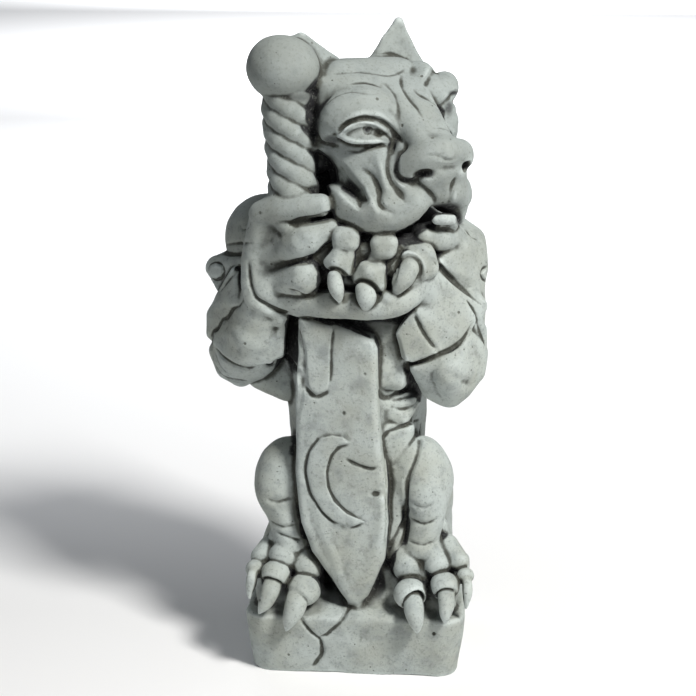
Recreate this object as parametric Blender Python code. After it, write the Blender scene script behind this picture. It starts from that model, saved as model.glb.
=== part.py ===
"""Gargoyle statue: a crouching beast in armour that leans on a sword, cast in one with its plinth.

Lengths are metres, +Z is up and the beast faces -Y. The origin is the centre of the plinth's underside.
The beast is drawn in units of its own height: x to the viewer's right, y away from the viewer and
z up from the plinth's top. The plinth and the sword have sizes of their own.
"""

import math

import bmesh
import bpy
from mathutils import Euler, Matrix, Vector

# The plinth
PLINTH_WIDTH = 0.210
PLINTH_DEPTH = 0.190
PLINTH_HEIGHT = 0.060
PLINTH_TAPER = 0.007
PLINTH_CORNER = 0.022
PLINTH_EDGE = 0.005

# The beast, from the plinth's top to the tip of the higher ear
FIGURE_HEIGHT = 0.545
FIGURE_UNITS = 547

# The sword
BLADE_WIDTH = 0.080
BLADE_LENGTH = 0.290
BLADE_THICKNESS = 0.042
GUARD_THICKNESS = 0.027
GRIP_LENGTH = 0.150
GRIP_DIAMETER = 0.046
GRIP_STRANDS = 4
GRIP_TURNS = 2.0
POMMEL_WIDTH = 0.065
POMMEL_HEIGHT = 0.058

# The fused surface
VOXEL = 0.0026
MOST_TRIANGLES = 9300

UNIT = FIGURE_HEIGHT / FIGURE_UNITS
HEAD_AT = (20, -28, 459)
HEAD_YAW = 38


def frame(at=(0, 0, 0), turn=(0, 0, 0)):
    """Where a group of forms sits in the beast's own units, with its turn in degrees about x, y and z."""
    angles = Euler([math.radians(angle) for angle in turn])
    return Matrix.Translation(Vector(at)) @ angles.to_matrix().to_4x4()


FIGURE = Matrix.Translation((0, 0, PLINTH_HEIGHT)) @ Matrix.Scale(UNIT, 4)
BODY = frame()
HEAD = frame(HEAD_AT, (0, 0, HEAD_YAW))


class Clay:
    """Closed forms gathered into one mesh, to be fused."""

    def __init__(self):
        self.mesh = bmesh.new()

    def take(self, form):
        """Moves a finished form into the lump."""
        bmesh.ops.recalc_face_normals(form, faces=form.faces)
        held = bpy.data.meshes.new("form")
        form.to_mesh(held)
        form.free()
        self.mesh.from_mesh(held)
        bpy.data.meshes.remove(held)

    def egg(self, at, size, turn=(0, 0, 0), where=BODY):
        form = bmesh.new()
        shape = frame(at, turn) @ Matrix.Diagonal((*size, 1))
        bmesh.ops.create_icosphere(form, subdivisions=3, radius=1, matrix=FIGURE @ where @ shape)
        self.take(form)

    def hull(self, balls, where=BODY):
        """The skin stretched over some balls, each x, y, z and radius."""
        form = bmesh.new()
        for x, y, z, radius in balls:
            spot = FIGURE @ where @ Matrix.Translation((x, y, z))
            bmesh.ops.create_icosphere(form, subdivisions=2, radius=radius, matrix=spot)
        bmesh.ops.delete(form, geom=form.edges[:], context="EDGES_FACES")
        skin = bmesh.ops.convex_hull(form, input=form.verts[:])
        loose = set(skin["geom_interior"]) | set(skin["geom_unused"])
        bmesh.ops.delete(form, geom=[v for v in loose if isinstance(v, bmesh.types.BMVert)], context="VERTS")
        self.take(form)

    def limb(self, balls, where=BODY, steps=3):
        """A rounded tube that bends smoothly through the balls."""
        line = smooth(balls, steps)
        for first, second in zip(line, line[1:]):
            self.hull((first, second), where)

    def plate(self, outline, back, front, where=BODY):
        """A flat piece with this outline in x and z, from y = back forward to y = front."""
        form = bmesh.new()
        spot = FIGURE @ where
        edge = [form.verts.new(spot @ Vector((x, back, z))) for x, z in outline]
        face = form.faces.new(edge)
        moved = bmesh.ops.extrude_face_region(form, geom=[face])
        raised = [v for v in moved["geom"] if isinstance(v, bmesh.types.BMVert)]
        shift = spot.to_3x3() @ Vector((0, front - back, 0))
        bmesh.ops.translate(form, verts=raised, vec=shift)
        bmesh.ops.triangulate(form, faces=form.faces[:])
        self.take(form)


def smooth(points, steps):
    """Catmull-Rom points through the given ones."""
    points = [Vector(p) for p in points]
    if len(points) < 3:
        return points
    ends = [2 * points[0] - points[1], *points, 2 * points[-1] - points[-2]]
    line = []
    for a, b, c, d in zip(ends, ends[1:], ends[2:], ends[3:]):
        for step in range(steps):
            t = step / steps
            line.append(
                b + (c - a) * (t / 2) + (2 * a - 5 * b + 4 * c - d) * (t * t / 2) + (3 * b - a - 3 * c + d) * (t**3 / 2)
            )
    line.append(points[-1])
    return line


def in_units(length):
    """A real length in the beast's units."""
    return length / UNIT


def sword(clay):
    """Blade with its point on the plinth, cross-guard, twisted grip and ball pommel."""
    half = in_units(BLADE_WIDTH) / 2
    top = in_units(BLADE_LENGTH)
    middle, front = -13, -88
    back = front + in_units(BLADE_THICKNESS)
    left = [(0.99, -0.88), (0.80, -1.00), (0.48, -1.04), (0.31, -0.92), (0.21, -0.66), (0.13, -0.28), (0.065, 0.04)]
    foot = [(0.036, 0.22), (0.030, 0.42), (0.060, 0.66)]
    right = [(0.12, 0.86), (0.19, 1.04), (0.31, 1.13), (0.44, 1.10), (0.56, 0.96), (0.75, 0.88), (0.92, 0.80)]
    outline = [(middle + half * across, top * up) for up, across in left + foot + right]
    clay.plate(outline, back, front + 5)
    face = [(middle + (x - middle) * 0.86 + 3, z) for x, z in outline]
    clay.plate(face, back, front)
    clay.plate(crescent((-13, 127), 29, 38, 0.30), back, front - 3)
    tongue = [(-50, 282), (-50, 240), (-46, 222), (-36, 216), (-26, 222), (-22, 240), (-20, 276)]
    clay.plate(tongue, back, front - 4)
    bar = in_units(GUARD_THICKNESS) / 2
    ends = [(-50, -78, 302, bar * 0.9), (-14, -90, 304, bar), (26, -92, 304, bar), (52, -86, 314, bar)]
    clay.limb([*ends, (66, -76, 336, bar * 0.8)])
    grip = in_units(GRIP_DIAMETER) / 2
    foot, head = Vector((-52, -72, 350)), Vector((-61, -72, 350 + in_units(GRIP_LENGTH)))
    clay.limb([(*foot, grip * 0.8), (*head, grip * 0.85)])
    up = (head - foot).normalized()
    side = (Vector((1, 0, 0)) - up * up.x).normalized()
    fore = up.cross(side)
    for strand in range(GRIP_STRANDS):
        rope = []
        for step in range(22):
            share = step / 21
            angle = math.tau * (strand / GRIP_STRANDS - GRIP_TURNS * share)
            out = side * math.cos(angle) + fore * math.sin(angle)
            rope.append((*(foot.lerp(head, share) + out * grip * 0.56), grip * 0.46))
        clay.limb(rope, steps=1)
    width, height = in_units(POMMEL_WIDTH) / 2, in_units(POMMEL_HEIGHT) / 2
    clay.egg((-64, -72, 513), (width, width, height))
    clay.hull([(-44, -62, 480, 10), (-36, -50, 430, 14), (-34, -40, 480, 14)])


def crescent(centre, across, tall, bite):
    """The outline of a moon that opens to the viewer's right."""
    outer = [math.radians(angle) for angle in range(60, 301, 20)]
    inner = [math.radians(angle) for angle in range(290, 69, -20)]
    line = [(centre[0] + across * math.cos(a), centre[1] + tall * math.sin(a)) for a in outer]
    shift = across * bite
    line += [(centre[0] + shift + across * 0.82 * math.cos(a), centre[1] + tall * 0.84 * math.sin(a)) for a in inner]
    return line


def toe(clay, instep, knuckle, ring, tip, collar):
    """A toe: two joints, the collar round its nail and the hooked claw."""
    instep, knuckle, ring, tip = (Vector(ball) for ball in (instep, knuckle, ring, tip))
    middle = knuckle.lerp(ring, 0.5)
    clay.limb([instep, knuckle, (*middle.xyz, knuckle.w * 0.86), (*ring.xyz, collar * 0.82)])
    way = (tip.xyz - ring.xyz).normalized() + Vector((0, -0.35, -0.1))
    clay.hull([(*(ring.xyz - way * collar * 0.1), collar), (*(ring.xyz + way * collar * 0.12), collar * 0.96)])
    front = ring.xyz + way * collar * 0.3
    swell = front.lerp(tip.xyz, 0.22) + Vector((0, -3, 2))
    bend = front.lerp(tip.xyz, 0.5) + Vector((0, -4, 2))
    claw = [(*front, ring.w * 0.9), (*swell, ring.w), (*bend, ring.w * 0.78), (*tip.xyz, ring.w * 0.16)]
    clay.limb(claw, steps=4)


def feet(clay):
    for side in (-1, 1):
        instep = [(side * 60, -58, 34, 20), (side * 68, -20, 16, 24), (side * 60, -54, 44, 18)]
        clay.hull([*instep, (side * 74, -34, 34, 18)])
        sole = [(side * 84, -62, 6, 12), (side * 46, -64, 6, 12), (side * 84, -50, 24, 16)]
        clay.hull([*sole, (side * 48, -54, 26, 16)])
    clay.hull([(-30, -40, 6, 14), (38, -62, 8, 12), (-30, -20, 70, 14), (34, -44, 62, 14), (8, -70, 8, 10)])
    toe(clay, (-76, -58, 60, 11), (-90, -70, 52, 11), (-94, -78, 41, 6.5), (-97, -92, 14, 1), 9.5)
    toe(clay, (-58, -60, 58, 14), (-67, -74, 53, 14), (-75, -84, 41, 9), (-85, -104, 5, 1), 14)
    toe(clay, (-35, -60, 53, 14), (-43, -76, 44, 15), (-49, -88, 31, 11), (-61, -108, -9, 1), 17)
    toe(clay, (46, -60, 60, 14), (50, -76, 53, 15), (53, -88, 34, 11), (62, -108, -6, 1), 17)
    toe(clay, (69, -60, 63, 14), (77, -74, 55, 14), (83, -85, 37, 9), (90, -103, 1, 1), 14.5)
    toe(clay, (87, -54, 61, 11), (100, -70, 50, 11), (106, -78, 38, 6), (107, -92, 12, 1), 9)


def legs(clay):
    for side in (-1, 1):
        clay.limb([(side * 44, 42, 60, 44), (side * 54, -4, 104, 36), (side * 60, -36, 122, 31)])
        clay.hull([(side * 72, -34, 70, 15), (side * 78, -32, 44, 18), (side * 68, -18, 22, 20)])
    clay.egg((-68, -48, 120), (30, 28, 42), (0, 4, 0))
    clay.egg((-77, -61, 114), (18, 17, 24))
    clay.limb([(-70, -54, 106, 21), (-66, -60, 86, 18), (-62, -62, 62, 15)])
    clay.limb([(-74, -60, 66, 11), (-60, -70, 62, 12), (-48, -64, 64, 10)])
    clay.egg((62, -46, 124), (28, 28, 42), (0, -4, 0))
    clay.egg((64, -62, 114), (18, 16, 24))
    clay.egg((64, -62, 96), (15, 13, 8))
    clay.limb([(68, -54, 104, 19), (66, -58, 86, 17), (62, -62, 62, 16)])
    clay.limb([(82, -60, 66, 9), (66, -72, 60, 10), (48, -66, 64, 9)])
    clay.hull([(42, -38, 104, 13), (46, -36, 60, 16), (10, -30, 80, 20), (12, -30, 110, 20)])
    clay.hull([(-50, 44, 30, 38), (50, 44, 30, 38), (-38, 40, 86, 38), (38, 40, 86, 38)])


def body(clay):
    """Trunk from the seat to the neck, with the loin cloth, belly plates and chest plate that show in front."""
    clay.limb([(0, 26, 60, 56), (-3, 6, 130, 64), (-4, -2, 192, 67), (-6, 2, 280, 68), (-6, 10, 335, 62)])
    clay.limb([(-90, 4, 338, 36), (-8, 20, 350, 52), (82, 4, 326, 36)])
    clay.limb([(-4, 22, 350, 56), (8, 10, 410, 48)])
    clay.hull([(-96, 6, 330, 24), (-98, 0, 262, 20), (-40, 30, 330, 36), (-40, 26, 262, 34)])
    clay.hull([(84, 6, 318, 24), (82, 0, 258, 20), (30, 30, 324, 36), (30, 26, 258, 34)])
    clay.hull([(20, -56, 178, 8), (46, -48, 174, 8), (40, -54, 120, 8), (24, -60, 58, 8), (32, -56, 58, 6)])
    clay.hull([(20, -52, 192, 9), (42, -50, 186, 8), (50, -40, 200, 10), (22, -50, 214, 9)])
    clay.hull([(6, -50, 276, 16), (42, -48, 276, 14), (22, -56, 228, 14), (38, -54, 224, 11)])


def back(clay):
    """The plainer side: shoulder blades, the knuckles of the spine and the haunches."""
    for side in (-1, 1):
        clay.egg((side * 40 - 5, 44, 316), (34, 24, 44), (12, 0, side * -14))
        clay.egg((side * 50, 32, 84), (36, 46, 44), (-14, 0, 0))
    spine = [(0, 76, 78, 8), (-2, 68, 120, 9), (-4, 60, 176, 9), (-5, 62, 250, 9), (-5, 72, 326, 9.5), (4, 66, 386, 9)]
    clay.limb(spine)
    for x, y, z, radius in smooth(spine, 3):
        clay.egg((x, y + 3, z), (radius, radius, radius * 0.86))


def left_arm(clay):
    """The arm at the viewer's left: shoulder, lame with its rivet, and three plates round the elbow."""
    clay.egg((-90, -8, 345), (38, 38, 43))
    lame = [(-135, -14, 318, 12), (-122, -28, 318, 14), (-106, -46, 330, 6), (-106, -8, 324, 18)]
    clay.hull([*lame, (-128, -24, 303, 9)])
    clay.egg((-133, -34, 317), (7, 6, 7))
    clay.limb([(-104, -4, 310, 28), (-108, -24, 256, 30), (-100, -40, 250, 30), (-80, -66, 310, 22)])
    rim = [(-112, -50, 322, 5), (-126, -36, 296, 8), (-137, -28, 276, 8), (-138, -28, 258, 7)]
    clay.hull([*rim, (-108, -62, 298, 4), (-112, -30, 270, 24)])
    shell = [(-101, -66, 292, 4), (-68, -70, 280, 5), (-70, -66, 250, 5), (-92, -64, 238, 5), (-112, -58, 240, 5)]
    clay.hull([*shell, (-132, -42, 250, 5), (-130, -42, 258, 5), (-98, -56, 266, 22)])
    elbow = [(-133, -28, 240, 10), (-126, -28, 224, 12), (-112, -36, 220, 12), (-88, -48, 236, 12)]
    clay.hull([*elbow, (-98, -20, 240, 24)])
    clay.hull([(-94, -22, 216, 14), (-68, -24, 205, 14), (-60, -14, 236, 20)])


def right_arm(clay):
    """The arm at the viewer's right: shoulder plate, three plates on the forearm and the elbow."""
    clay.limb([(84, 0, 330, 32), (90, -24, 262, 28), (84, -46, 240, 24)])
    dome = [(82, -8, 354, 20), (101, -12, 345, 17), (106, -16, 324, 15), (110, -28, 296, 6)]
    clay.hull([*dome, (76, -70, 340, 4), (90, -44, 346, 15), (100, -44, 322, 9)])
    clay.egg((117, -26, 319), (6, 6, 6))
    clay.limb([(70, -62, 300, 22), (48, -76, 334, 22)])
    cop = [(58, -62, 238, 8), (76, -66, 242, 8), (101, -52, 266, 8), (110, -38, 248, 12), (108, -38, 229, 12)]
    clay.hull([*cop, (94, -44, 217, 15), (86, -46, 210, 14), (72, -50, 216, 13), (86, -62, 236, 17)])
    clay.hull([(104, -42, 290, 8), (113, -34, 268, 8), (114, -32, 250, 7), (100, -40, 272, 12)])
    clay.hull([(53, -76, 292, 4), (75, -68, 257, 5), (48, -70, 249, 5), (42, -74, 273, 4), (57, -60, 266, 17)])
    bracer = [(74, -66, 330, 5), (107, -52, 284, 5), (96, -58, 266, 5), (79, -64, 256, 5), (56, -78, 295, 4)]
    clay.hull([*bracer, (84, -50, 286, 24)])


def hands(clay):
    """The fist round the foot of the grip, and the paw laid over the guard with its claws hanging down."""
    clay.hull([(-76, -56, 352, 22), (-66, -58, 320, 22), (-84, -56, 336, 20), (-78, -60, 368, 20), (-56, -62, 366, 14)])
    palm = [(-79, -72, 371, 15), (-32, -78, 382, 14), (-85, -68, 336, 14), (-84, -68, 316, 14), (-29, -80, 336, 12)]
    clay.hull([*palm, (-25, -84, 365, 12), (-62, -80, 343, 16), (-59, -74, 306, 12)])
    clay.limb([(-78, -74, 381, 14), (-61, -84, 390, 13.5), (-44, -88, 394, 12.5), (-30, -90, 396, 12)])
    clay.limb([(-56, -82, 355, 14), (-48, -90, 361, 14.5), (-35, -92, 369, 13), (-22, -92, 377, 12)])
    clay.limb([(-56, -80, 319, 12), (-42, -90, 331, 14), (-31, -92, 333, 13.5)])
    clay.limb([(-72, -76, 308, 12), (-56, -80, 306, 11), (-43, -84, 307, 10)])
    clay.hull([(46, -74, 338, 20), (14, -70, 352, 18), (54, -70, 348, 16), (-4, -74, 356, 12)])
    clay.hull([(-8, -82, 357, 11), (29, -84, 353, 12), (60, -80, 351, 13), (-5, -78, 318, 10), (42, -78, 319, 11)])
    clay.egg((-5, -94, 366), (14, 12, 13))
    clay.hull([(-7, -94, 353, 11), (-16, -95, 345, 9), (-6, -97, 342, 10), (-11, -98, 341, 10)])
    clay.limb([(-12, -105, 338, 8), (-11, -108, 327, 8.5), (-11, -104, 309, 1.5)], steps=4)
    clay.egg((29, -96, 361), (15, 12, 14))
    clay.hull([(24, -96, 344, 12), (12, -96, 341, 13), (9, -98, 332, 9.5), (25, -98, 333, 11)])
    clay.limb([(12, -107, 327, 9), (13, -109, 318, 9.5), (11, -105, 304, 2)], steps=4)
    clay.hull([(61, -84, 355, 16), (55, -90, 349, 15), (64, -84, 343, 13)])
    clay.limb([(53, -101, 344, 10), (49, -103, 336, 10.5), (41, -100, 317, 2)], steps=4)
    clay.egg((33, -100, 312), (9, 8, 7))


def skull(clay):
    clay.egg((-4, 8, 6), (64, 54, 50), where=HEAD)
    clay.egg((-18, -48, -10), (7, 8, 7), where=HEAD)
    clay.hull([(-44, 0, 44, 14), (14, -8, 44, 14), (-34, 26, 42, 16), (26, 26, 38, 16)], HEAD)
    clay.hull([(-58, -4, 36, 12), (-60, -8, 10, 11), (-60, -6, -16, 11), (-48, 10, 44, 12), (-48, 10, 0, 14)], HEAD)
    front = [(-60, -12, 11, 13), (-51, -22, 21, 14), (-35, -30, 24, 15), (-15, -34, 17, 13), (9, -24, 27, 15)]
    clay.hull([*front, (-38, 2, 41, 14), (-10, 0, 42, 14), (21, -4, 40, 14)], HEAD)
    brow = [(-66, -16, 0, 9), (-66, -24, 12, 12), (-57, -31, 22, 13), (-40, -37, 25, 13), (-22, -41, 19, 12)]
    clay.limb([*brow, (-12, -46, 3, 8)], HEAD)
    temple = [(-54, 0, 25, 14), (-42, -14, 33, 14), (-16, -14, 33, 14), (9, -18, 30, 14), (-58, -6, 1, 10)]
    clay.hull([*temple, (-20, 20, 20, 20)], HEAD)
    cheek = [(-46, -10, -12, 21), (-40, -16, -48, 24), (-26, -38, -26, 20), (-14, -56, -46, 18)]
    clay.hull([*cheek, (-34, -36, -60, 20)], HEAD)
    clay.hull([(44, -10, -12, 18), (40, -16, -48, 22), (28, -44, -26, 20), (24, -58, -46, 18)], HEAD)
    clay.hull([(-37, -50, 489, 9), (-43, -56, 479, 8), (-38, -44, 456, 9), (-42, -40, 426, 10)])


def muzzle(clay):
    """Bridge, nose, lips and jaw."""
    bridge = [(-10, -34, 24, 13), (14, -36, 26, 13), (-6, -58, 4, 13), (14, -60, 4, 13), (-2, -78, -16, 12)]
    clay.hull([*bridge, (14, -80, -15, 12)], HEAD)
    clay.limb([(-14, -66, -28, 14.5), (-6, -78, -20, 14), (7, -85, -16, 13.5), (25, -84, -18, 13)], HEAD)
    clay.egg((29, -82, -22), (13, 13, 14), where=HEAD)
    clay.hull([(-2, -82, -33, 9), (22, -86, -33, 9), (10, -80, -24, 10)], HEAD)
    lip = [(-2, -78, -41, 9), (26, -82, -41, 9), (10, -74, -58, 7), (34, -74, -60, 8), (-2, -66, -53, 12)]
    clay.hull([*lip, (10, -60, -50, 16)], HEAD)
    clay.limb([(-10, -68, -60, 15), (-18, -61, -66, 18), (-32, -47, -70, 22), (-46, -26, -64, 22)], HEAD)
    clay.limb([(22, -78, -52, 12), (34, -66, -58, 15), (42, -50, -60, 20), (44, -24, -50, 20)], HEAD)
    clay.limb([(31, -78, -40, 7), (35, -76, -54, 7), (41, -70, -70, 6.5), (43, -64, -83, 5)], HEAD)
    clay.hull([(4, -52, -86, 9), (24, -60, -90, 8), (40, -56, -94, 8), (34, -40, -96, 14)], HEAD)
    clay.limb([(46, -54, -101, 12), (24, -62, -100, 12), (6, -62, -95, 11)], HEAD)
    clay.limb([(14, -74, -78, 6), (25, -75, -80, 6)], HEAD)


def eyes(clay):
    """The eye towards the viewer with its lids, and the brow and eye beyond the bridge."""
    clay.egg((-44, -38, 3), (21, 13, 13), where=HEAD)
    upper = [(-69, -35, 0, 2), (-65, -42, 4, 2.5), (-59, -47, 8, 3), (-49, -50, 10, 3), (-38, -51, 7, 3)]
    clay.limb([*upper, (-27, -51, 0, 2.5), (-19, -50, -8, 2)], HEAD)
    lower = [(-68, -35, 0, 2), (-63, -41, -4, 3), (-53, -46, -6, 3), (-43, -49, -6, 3), (-31, -50, -8, 2.5)]
    clay.limb([*lower, (-21, -50, -10, 2)], HEAD)
    clay.hull([(12, -26, 30, 13), (27, -30, 33, 13), (36, -36, 24, 13), (41, -40, 12, 9), (43, -42, 1, 7)], HEAD)
    clay.limb([(24, -8, 38, 13), (32, -16, 42, 13.5), (30, -26, 38, 13)], HEAD)
    clay.limb([(32, -36, 28, 12), (44, -31, 30, 14), (54, -22, 33, 14), (60, -12, 26, 10), (60, 0, 10, 8)], HEAD)
    clay.egg((46, -40, 4), (11, 13, 12), (0, 0, -30), HEAD)
    clay.limb([(35, -49, 8, 2), (42, -49, 15, 3), (51, -41, 16, 3), (57, -31, 11, 3), (59, -24, 3, 2)], HEAD)
    clay.limb([(36, -50, 2, 2), (43, -49, -5, 3), (52, -41, -7, 3), (58, -31, -3, 3), (59, -24, 2, 2)], HEAD)
    clay.hull([(56, -10, 18, 10), (58, -14, -8, 10), (44, -36, -16, 12), (50, 4, -20, 12), (40, 10, 20, 20)], HEAD)


def ears(clay):
    """Two pointed ears; the near one is a flap beside the pommel."""
    tip = (38, 28, 87)
    clay.hull([(9, 20, 52, 6), (52, 16, 46, 6), (*tip, 2)], HEAD)
    for foot in ((9, 22, 50), (52, 18, 44)):
        clay.hull([(*foot, 8), (36, 38, 44, 8), (*tip, 2.5)], HEAD)
    flap = [(-72, 20, 79, 5), (-86, 24, 74, 5), (-42, 14, 56, 6), (-59, 6, 44, 7), (-71, 10, 55, 6)]
    clay.hull([*flap, (-46, 30, 44, 8)], HEAD)


def head(clay):
    """The dog's head, in its own frame: x to the far side, -y out along the muzzle, the eyes at z = 0."""
    skull(clay)
    muzzle(clay)
    eyes(clay)
    ears(clay)


def bake(name, bm):
    """A mesh object holding these forms."""
    mesh = bpy.data.meshes.new(name)
    bm.to_mesh(mesh)
    bm.free()
    made = bpy.data.objects.new(name, mesh)
    bpy.context.scene.collection.objects.link(made)
    return made


def evaluated(made):
    """The object's mesh with its modifiers in it, the modifiers cleared."""
    bpy.context.view_layer.update()
    graph = bpy.context.evaluated_depsgraph_get()
    mesh = bpy.data.meshes.new_from_object(made.evaluated_get(graph))
    made.modifiers.clear()
    made.data = mesh
    return mesh


def keep_largest(mesh):
    """Drops what a gap inside the lump leaves: every shell but the one with the most points."""
    bm = bmesh.new()
    bm.from_mesh(mesh)
    left = set(bm.verts)
    shells = []
    while left:
        first = left.pop()
        shell, edge = {first}, [first]
        while edge:
            for link in edge.pop().link_edges:
                for vert in link.verts:
                    if vert in left:
                        left.discard(vert)
                        shell.add(vert)
                        edge.append(vert)
        shells.append(shell)
    largest = max(shells, key=len)
    bmesh.ops.delete(bm, geom=[v for v in bm.verts if v not in largest], context="VERTS")
    bm.to_mesh(mesh)
    bm.free()


def figure():
    """The beast and its sword fused into one skin, down to a few thousand faces."""
    clay = Clay()
    for part in (sword, feet, legs, body, back, left_arm, right_arm, hands, head):
        part(clay)
    made = bake("figure", clay.mesh)
    fuse = made.modifiers.new("Fuse", "REMESH")
    fuse.mode = "VOXEL"
    fuse.voxel_size = VOXEL
    soften = made.modifiers.new("Soften", "SMOOTH")
    soften.factor = 0.5
    soften.iterations = 2
    keep_largest(evaluated(made))
    made.data.calc_loop_triangles()
    thin = made.modifiers.new("Thin", "DECIMATE")
    thin.ratio = MOST_TRIANGLES / len(made.data.loop_triangles)
    evaluated(made)
    return made


def plinth():
    """A low block with round upright corners, a worn top edge and sides that fall in towards the foot."""
    bm = bmesh.new()
    bmesh.ops.create_cube(bm, size=1)
    bmesh.ops.scale(bm, vec=(PLINTH_WIDTH, PLINTH_DEPTH, PLINTH_HEIGHT), verts=bm.verts)
    bmesh.ops.translate(bm, vec=(0, 0, PLINTH_HEIGHT / 2), verts=bm.verts)
    for vert in bm.verts:
        if vert.co.z < PLINTH_HEIGHT / 2:
            vert.co.x -= math.copysign(PLINTH_TAPER, vert.co.x)
            vert.co.y -= math.copysign(PLINTH_TAPER, vert.co.y)
    upright = [e for e in bm.edges if abs(e.verts[0].co.z - e.verts[1].co.z) > PLINTH_HEIGHT / 2]
    bmesh.ops.bevel(bm, geom=upright, offset=PLINTH_CORNER, segments=5, profile=0.5, affect="EDGES")
    top = [e for e in bm.edges if min(v.co.z for v in e.verts) > PLINTH_HEIGHT - 1e-5]
    bmesh.ops.bevel(bm, geom=top, offset=PLINTH_EDGE, segments=2, profile=0.5, affect="EDGES")
    return bake("gargoyle_statue", bm)


def stone():
    material = bpy.data.materials.new("pale_cast_stone")
    material.use_nodes = True
    surface = material.node_tree.nodes["Principled BSDF"]
    surface.inputs["Base Color"].default_value = (0.40, 0.42, 0.39, 1)
    surface.inputs["Roughness"].default_value = 0.88
    surface.inputs["Metallic"].default_value = 0
    return material


def main():
    for old in list(bpy.data.objects):
        bpy.data.objects.remove(old)
    statue = plinth()
    beast = figure()
    beast.hide_render = True
    beast.display_type = "WIRE"
    join = statue.modifiers.new("Join", "BOOLEAN")
    join.operation = "UNION"
    join.solver = "MANIFOLD"
    join.object = beast
    statue.data.materials.append(stone())


main()
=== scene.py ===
"""Gargoyle statue in pale cast stone, carved from a distance field and meshed as one skin.

The beast is drawn in millimetres: x to the viewer's right, y away from the viewer and z up from the
plinth's top. A picture point is a place in the 696 x 696 picture, across and down.
"""

import copy
import math

import bpy
import numpy as np
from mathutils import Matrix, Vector


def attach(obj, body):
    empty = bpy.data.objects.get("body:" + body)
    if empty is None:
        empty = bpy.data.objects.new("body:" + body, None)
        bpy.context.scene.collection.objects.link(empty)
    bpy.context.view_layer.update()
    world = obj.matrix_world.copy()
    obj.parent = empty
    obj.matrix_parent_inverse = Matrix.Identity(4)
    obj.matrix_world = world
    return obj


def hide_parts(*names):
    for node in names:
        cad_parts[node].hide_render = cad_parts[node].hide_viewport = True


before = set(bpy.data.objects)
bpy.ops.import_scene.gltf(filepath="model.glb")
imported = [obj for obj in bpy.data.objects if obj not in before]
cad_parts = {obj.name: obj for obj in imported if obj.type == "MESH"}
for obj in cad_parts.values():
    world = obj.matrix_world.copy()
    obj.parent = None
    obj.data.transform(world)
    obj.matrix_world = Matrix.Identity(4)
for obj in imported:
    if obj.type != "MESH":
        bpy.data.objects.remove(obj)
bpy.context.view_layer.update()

# The plinth and the sword, in millimetres
PLINTH_WIDTH = 210.0
PLINTH_DEPTH = 190.0
PLINTH_TOP = 60.0
PLINTH_TAPER = 7.0
PLINTH_CORNER = 22.0
PLINTH_EDGE = 5.0
BLADE_WIDTH = 80.0
BLADE_LENGTH = 290.0
BLADE_THICKNESS = 42.0
GUARD_THICKNESS = 27.0
GRIP_LENGTH = 150.0
GRIP_DIAMETER = 46.0
GRIP_STRANDS = 4
GRIP_TURNS = 2.0
ROPE_PARTS = 21
POMMEL_WIDTH = 65.0
POMMEL_HEIGHT = 58.0

# The beast is drawn in units of its own height
FIGURE_HEIGHT = 545.0
BEAST = FIGURE_HEIGHT / 547

# The head's own frame: its origin is between the eyes
HEAD_AT = (20.0, -28.0, 459.0)
HEAD_YAW = 38.0

# How finely it is carved
STEP = 1.0
MOST_TRIANGLES = 196000
FAR = 40.0
CLAY_BOX = ((-150, -131, -5), (128, 100, 612))
RIGHT_ARM_BOX = ((60, -100, 258), (128, 70, 430))
LEFT_ARM_BOX = ((-150, -84, 258), (-74, 70, 372))

# A ray looks for the clay this far before and behind the aim, and a stroke breaks at a longer jump in depth
MOST_BEFORE = 190.0
MOST_BEHIND = 160.0
RAY_STEP = 0.8
LONGEST_JUMP = 14.0

# The camera, in millimetres and pixels
PICTURE = 696.0
SENSOR = 36.0
AIM = np.array([0.0, 0.0, 305.0])
CAMERA_AZIMUTH = 5.0
CAMERA_ELEVATION = 15.0
CAMERA_DISTANCE = 1700.0
FOCAL = 1778.93
AIM_ACROSS = 361.5
AIM_DOWN = 340.4


def turned(rx=0.0, ry=0.0, rz=0.0):
    """The matrix of a turn in degrees about x, then y, then z."""
    a, b, c = (math.radians(angle) for angle in (rx, ry, rz))
    about_x = np.array([[1, 0, 0], [0, math.cos(a), -math.sin(a)], [0, math.sin(a), math.cos(a)]])
    about_y = np.array([[math.cos(b), 0, math.sin(b)], [0, 1, 0], [-math.sin(b), 0, math.cos(b)]])
    about_z = np.array([[math.cos(c), -math.sin(c), 0], [math.sin(c), math.cos(c), 0], [0, 0, 1]])
    return about_z @ about_y @ about_x


class Frame:
    """Where a group of forms sits."""

    def __init__(self, at=(0, 0, 0), turn=(0, 0, 0)):
        self.turn = turned(*turn)
        self.at = np.array(at, float)

    def place(self, point):
        """Where a point in the beast's units is, in millimetres."""
        return self.turn @ np.asarray(point, float) * BEAST + self.at

    def balls(self, balls):
        """Balls in the beast's units, placed and sized in millimetres."""
        return [(*self.place(ball[:3]), ball[3] * BEAST) for ball in balls]


BODY = Frame((0, 0, PLINTH_TOP))
HEAD = Frame(np.array(HEAD_AT) * BEAST + (0, 0, PLINTH_TOP), (0, 0, HEAD_YAW))


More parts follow.
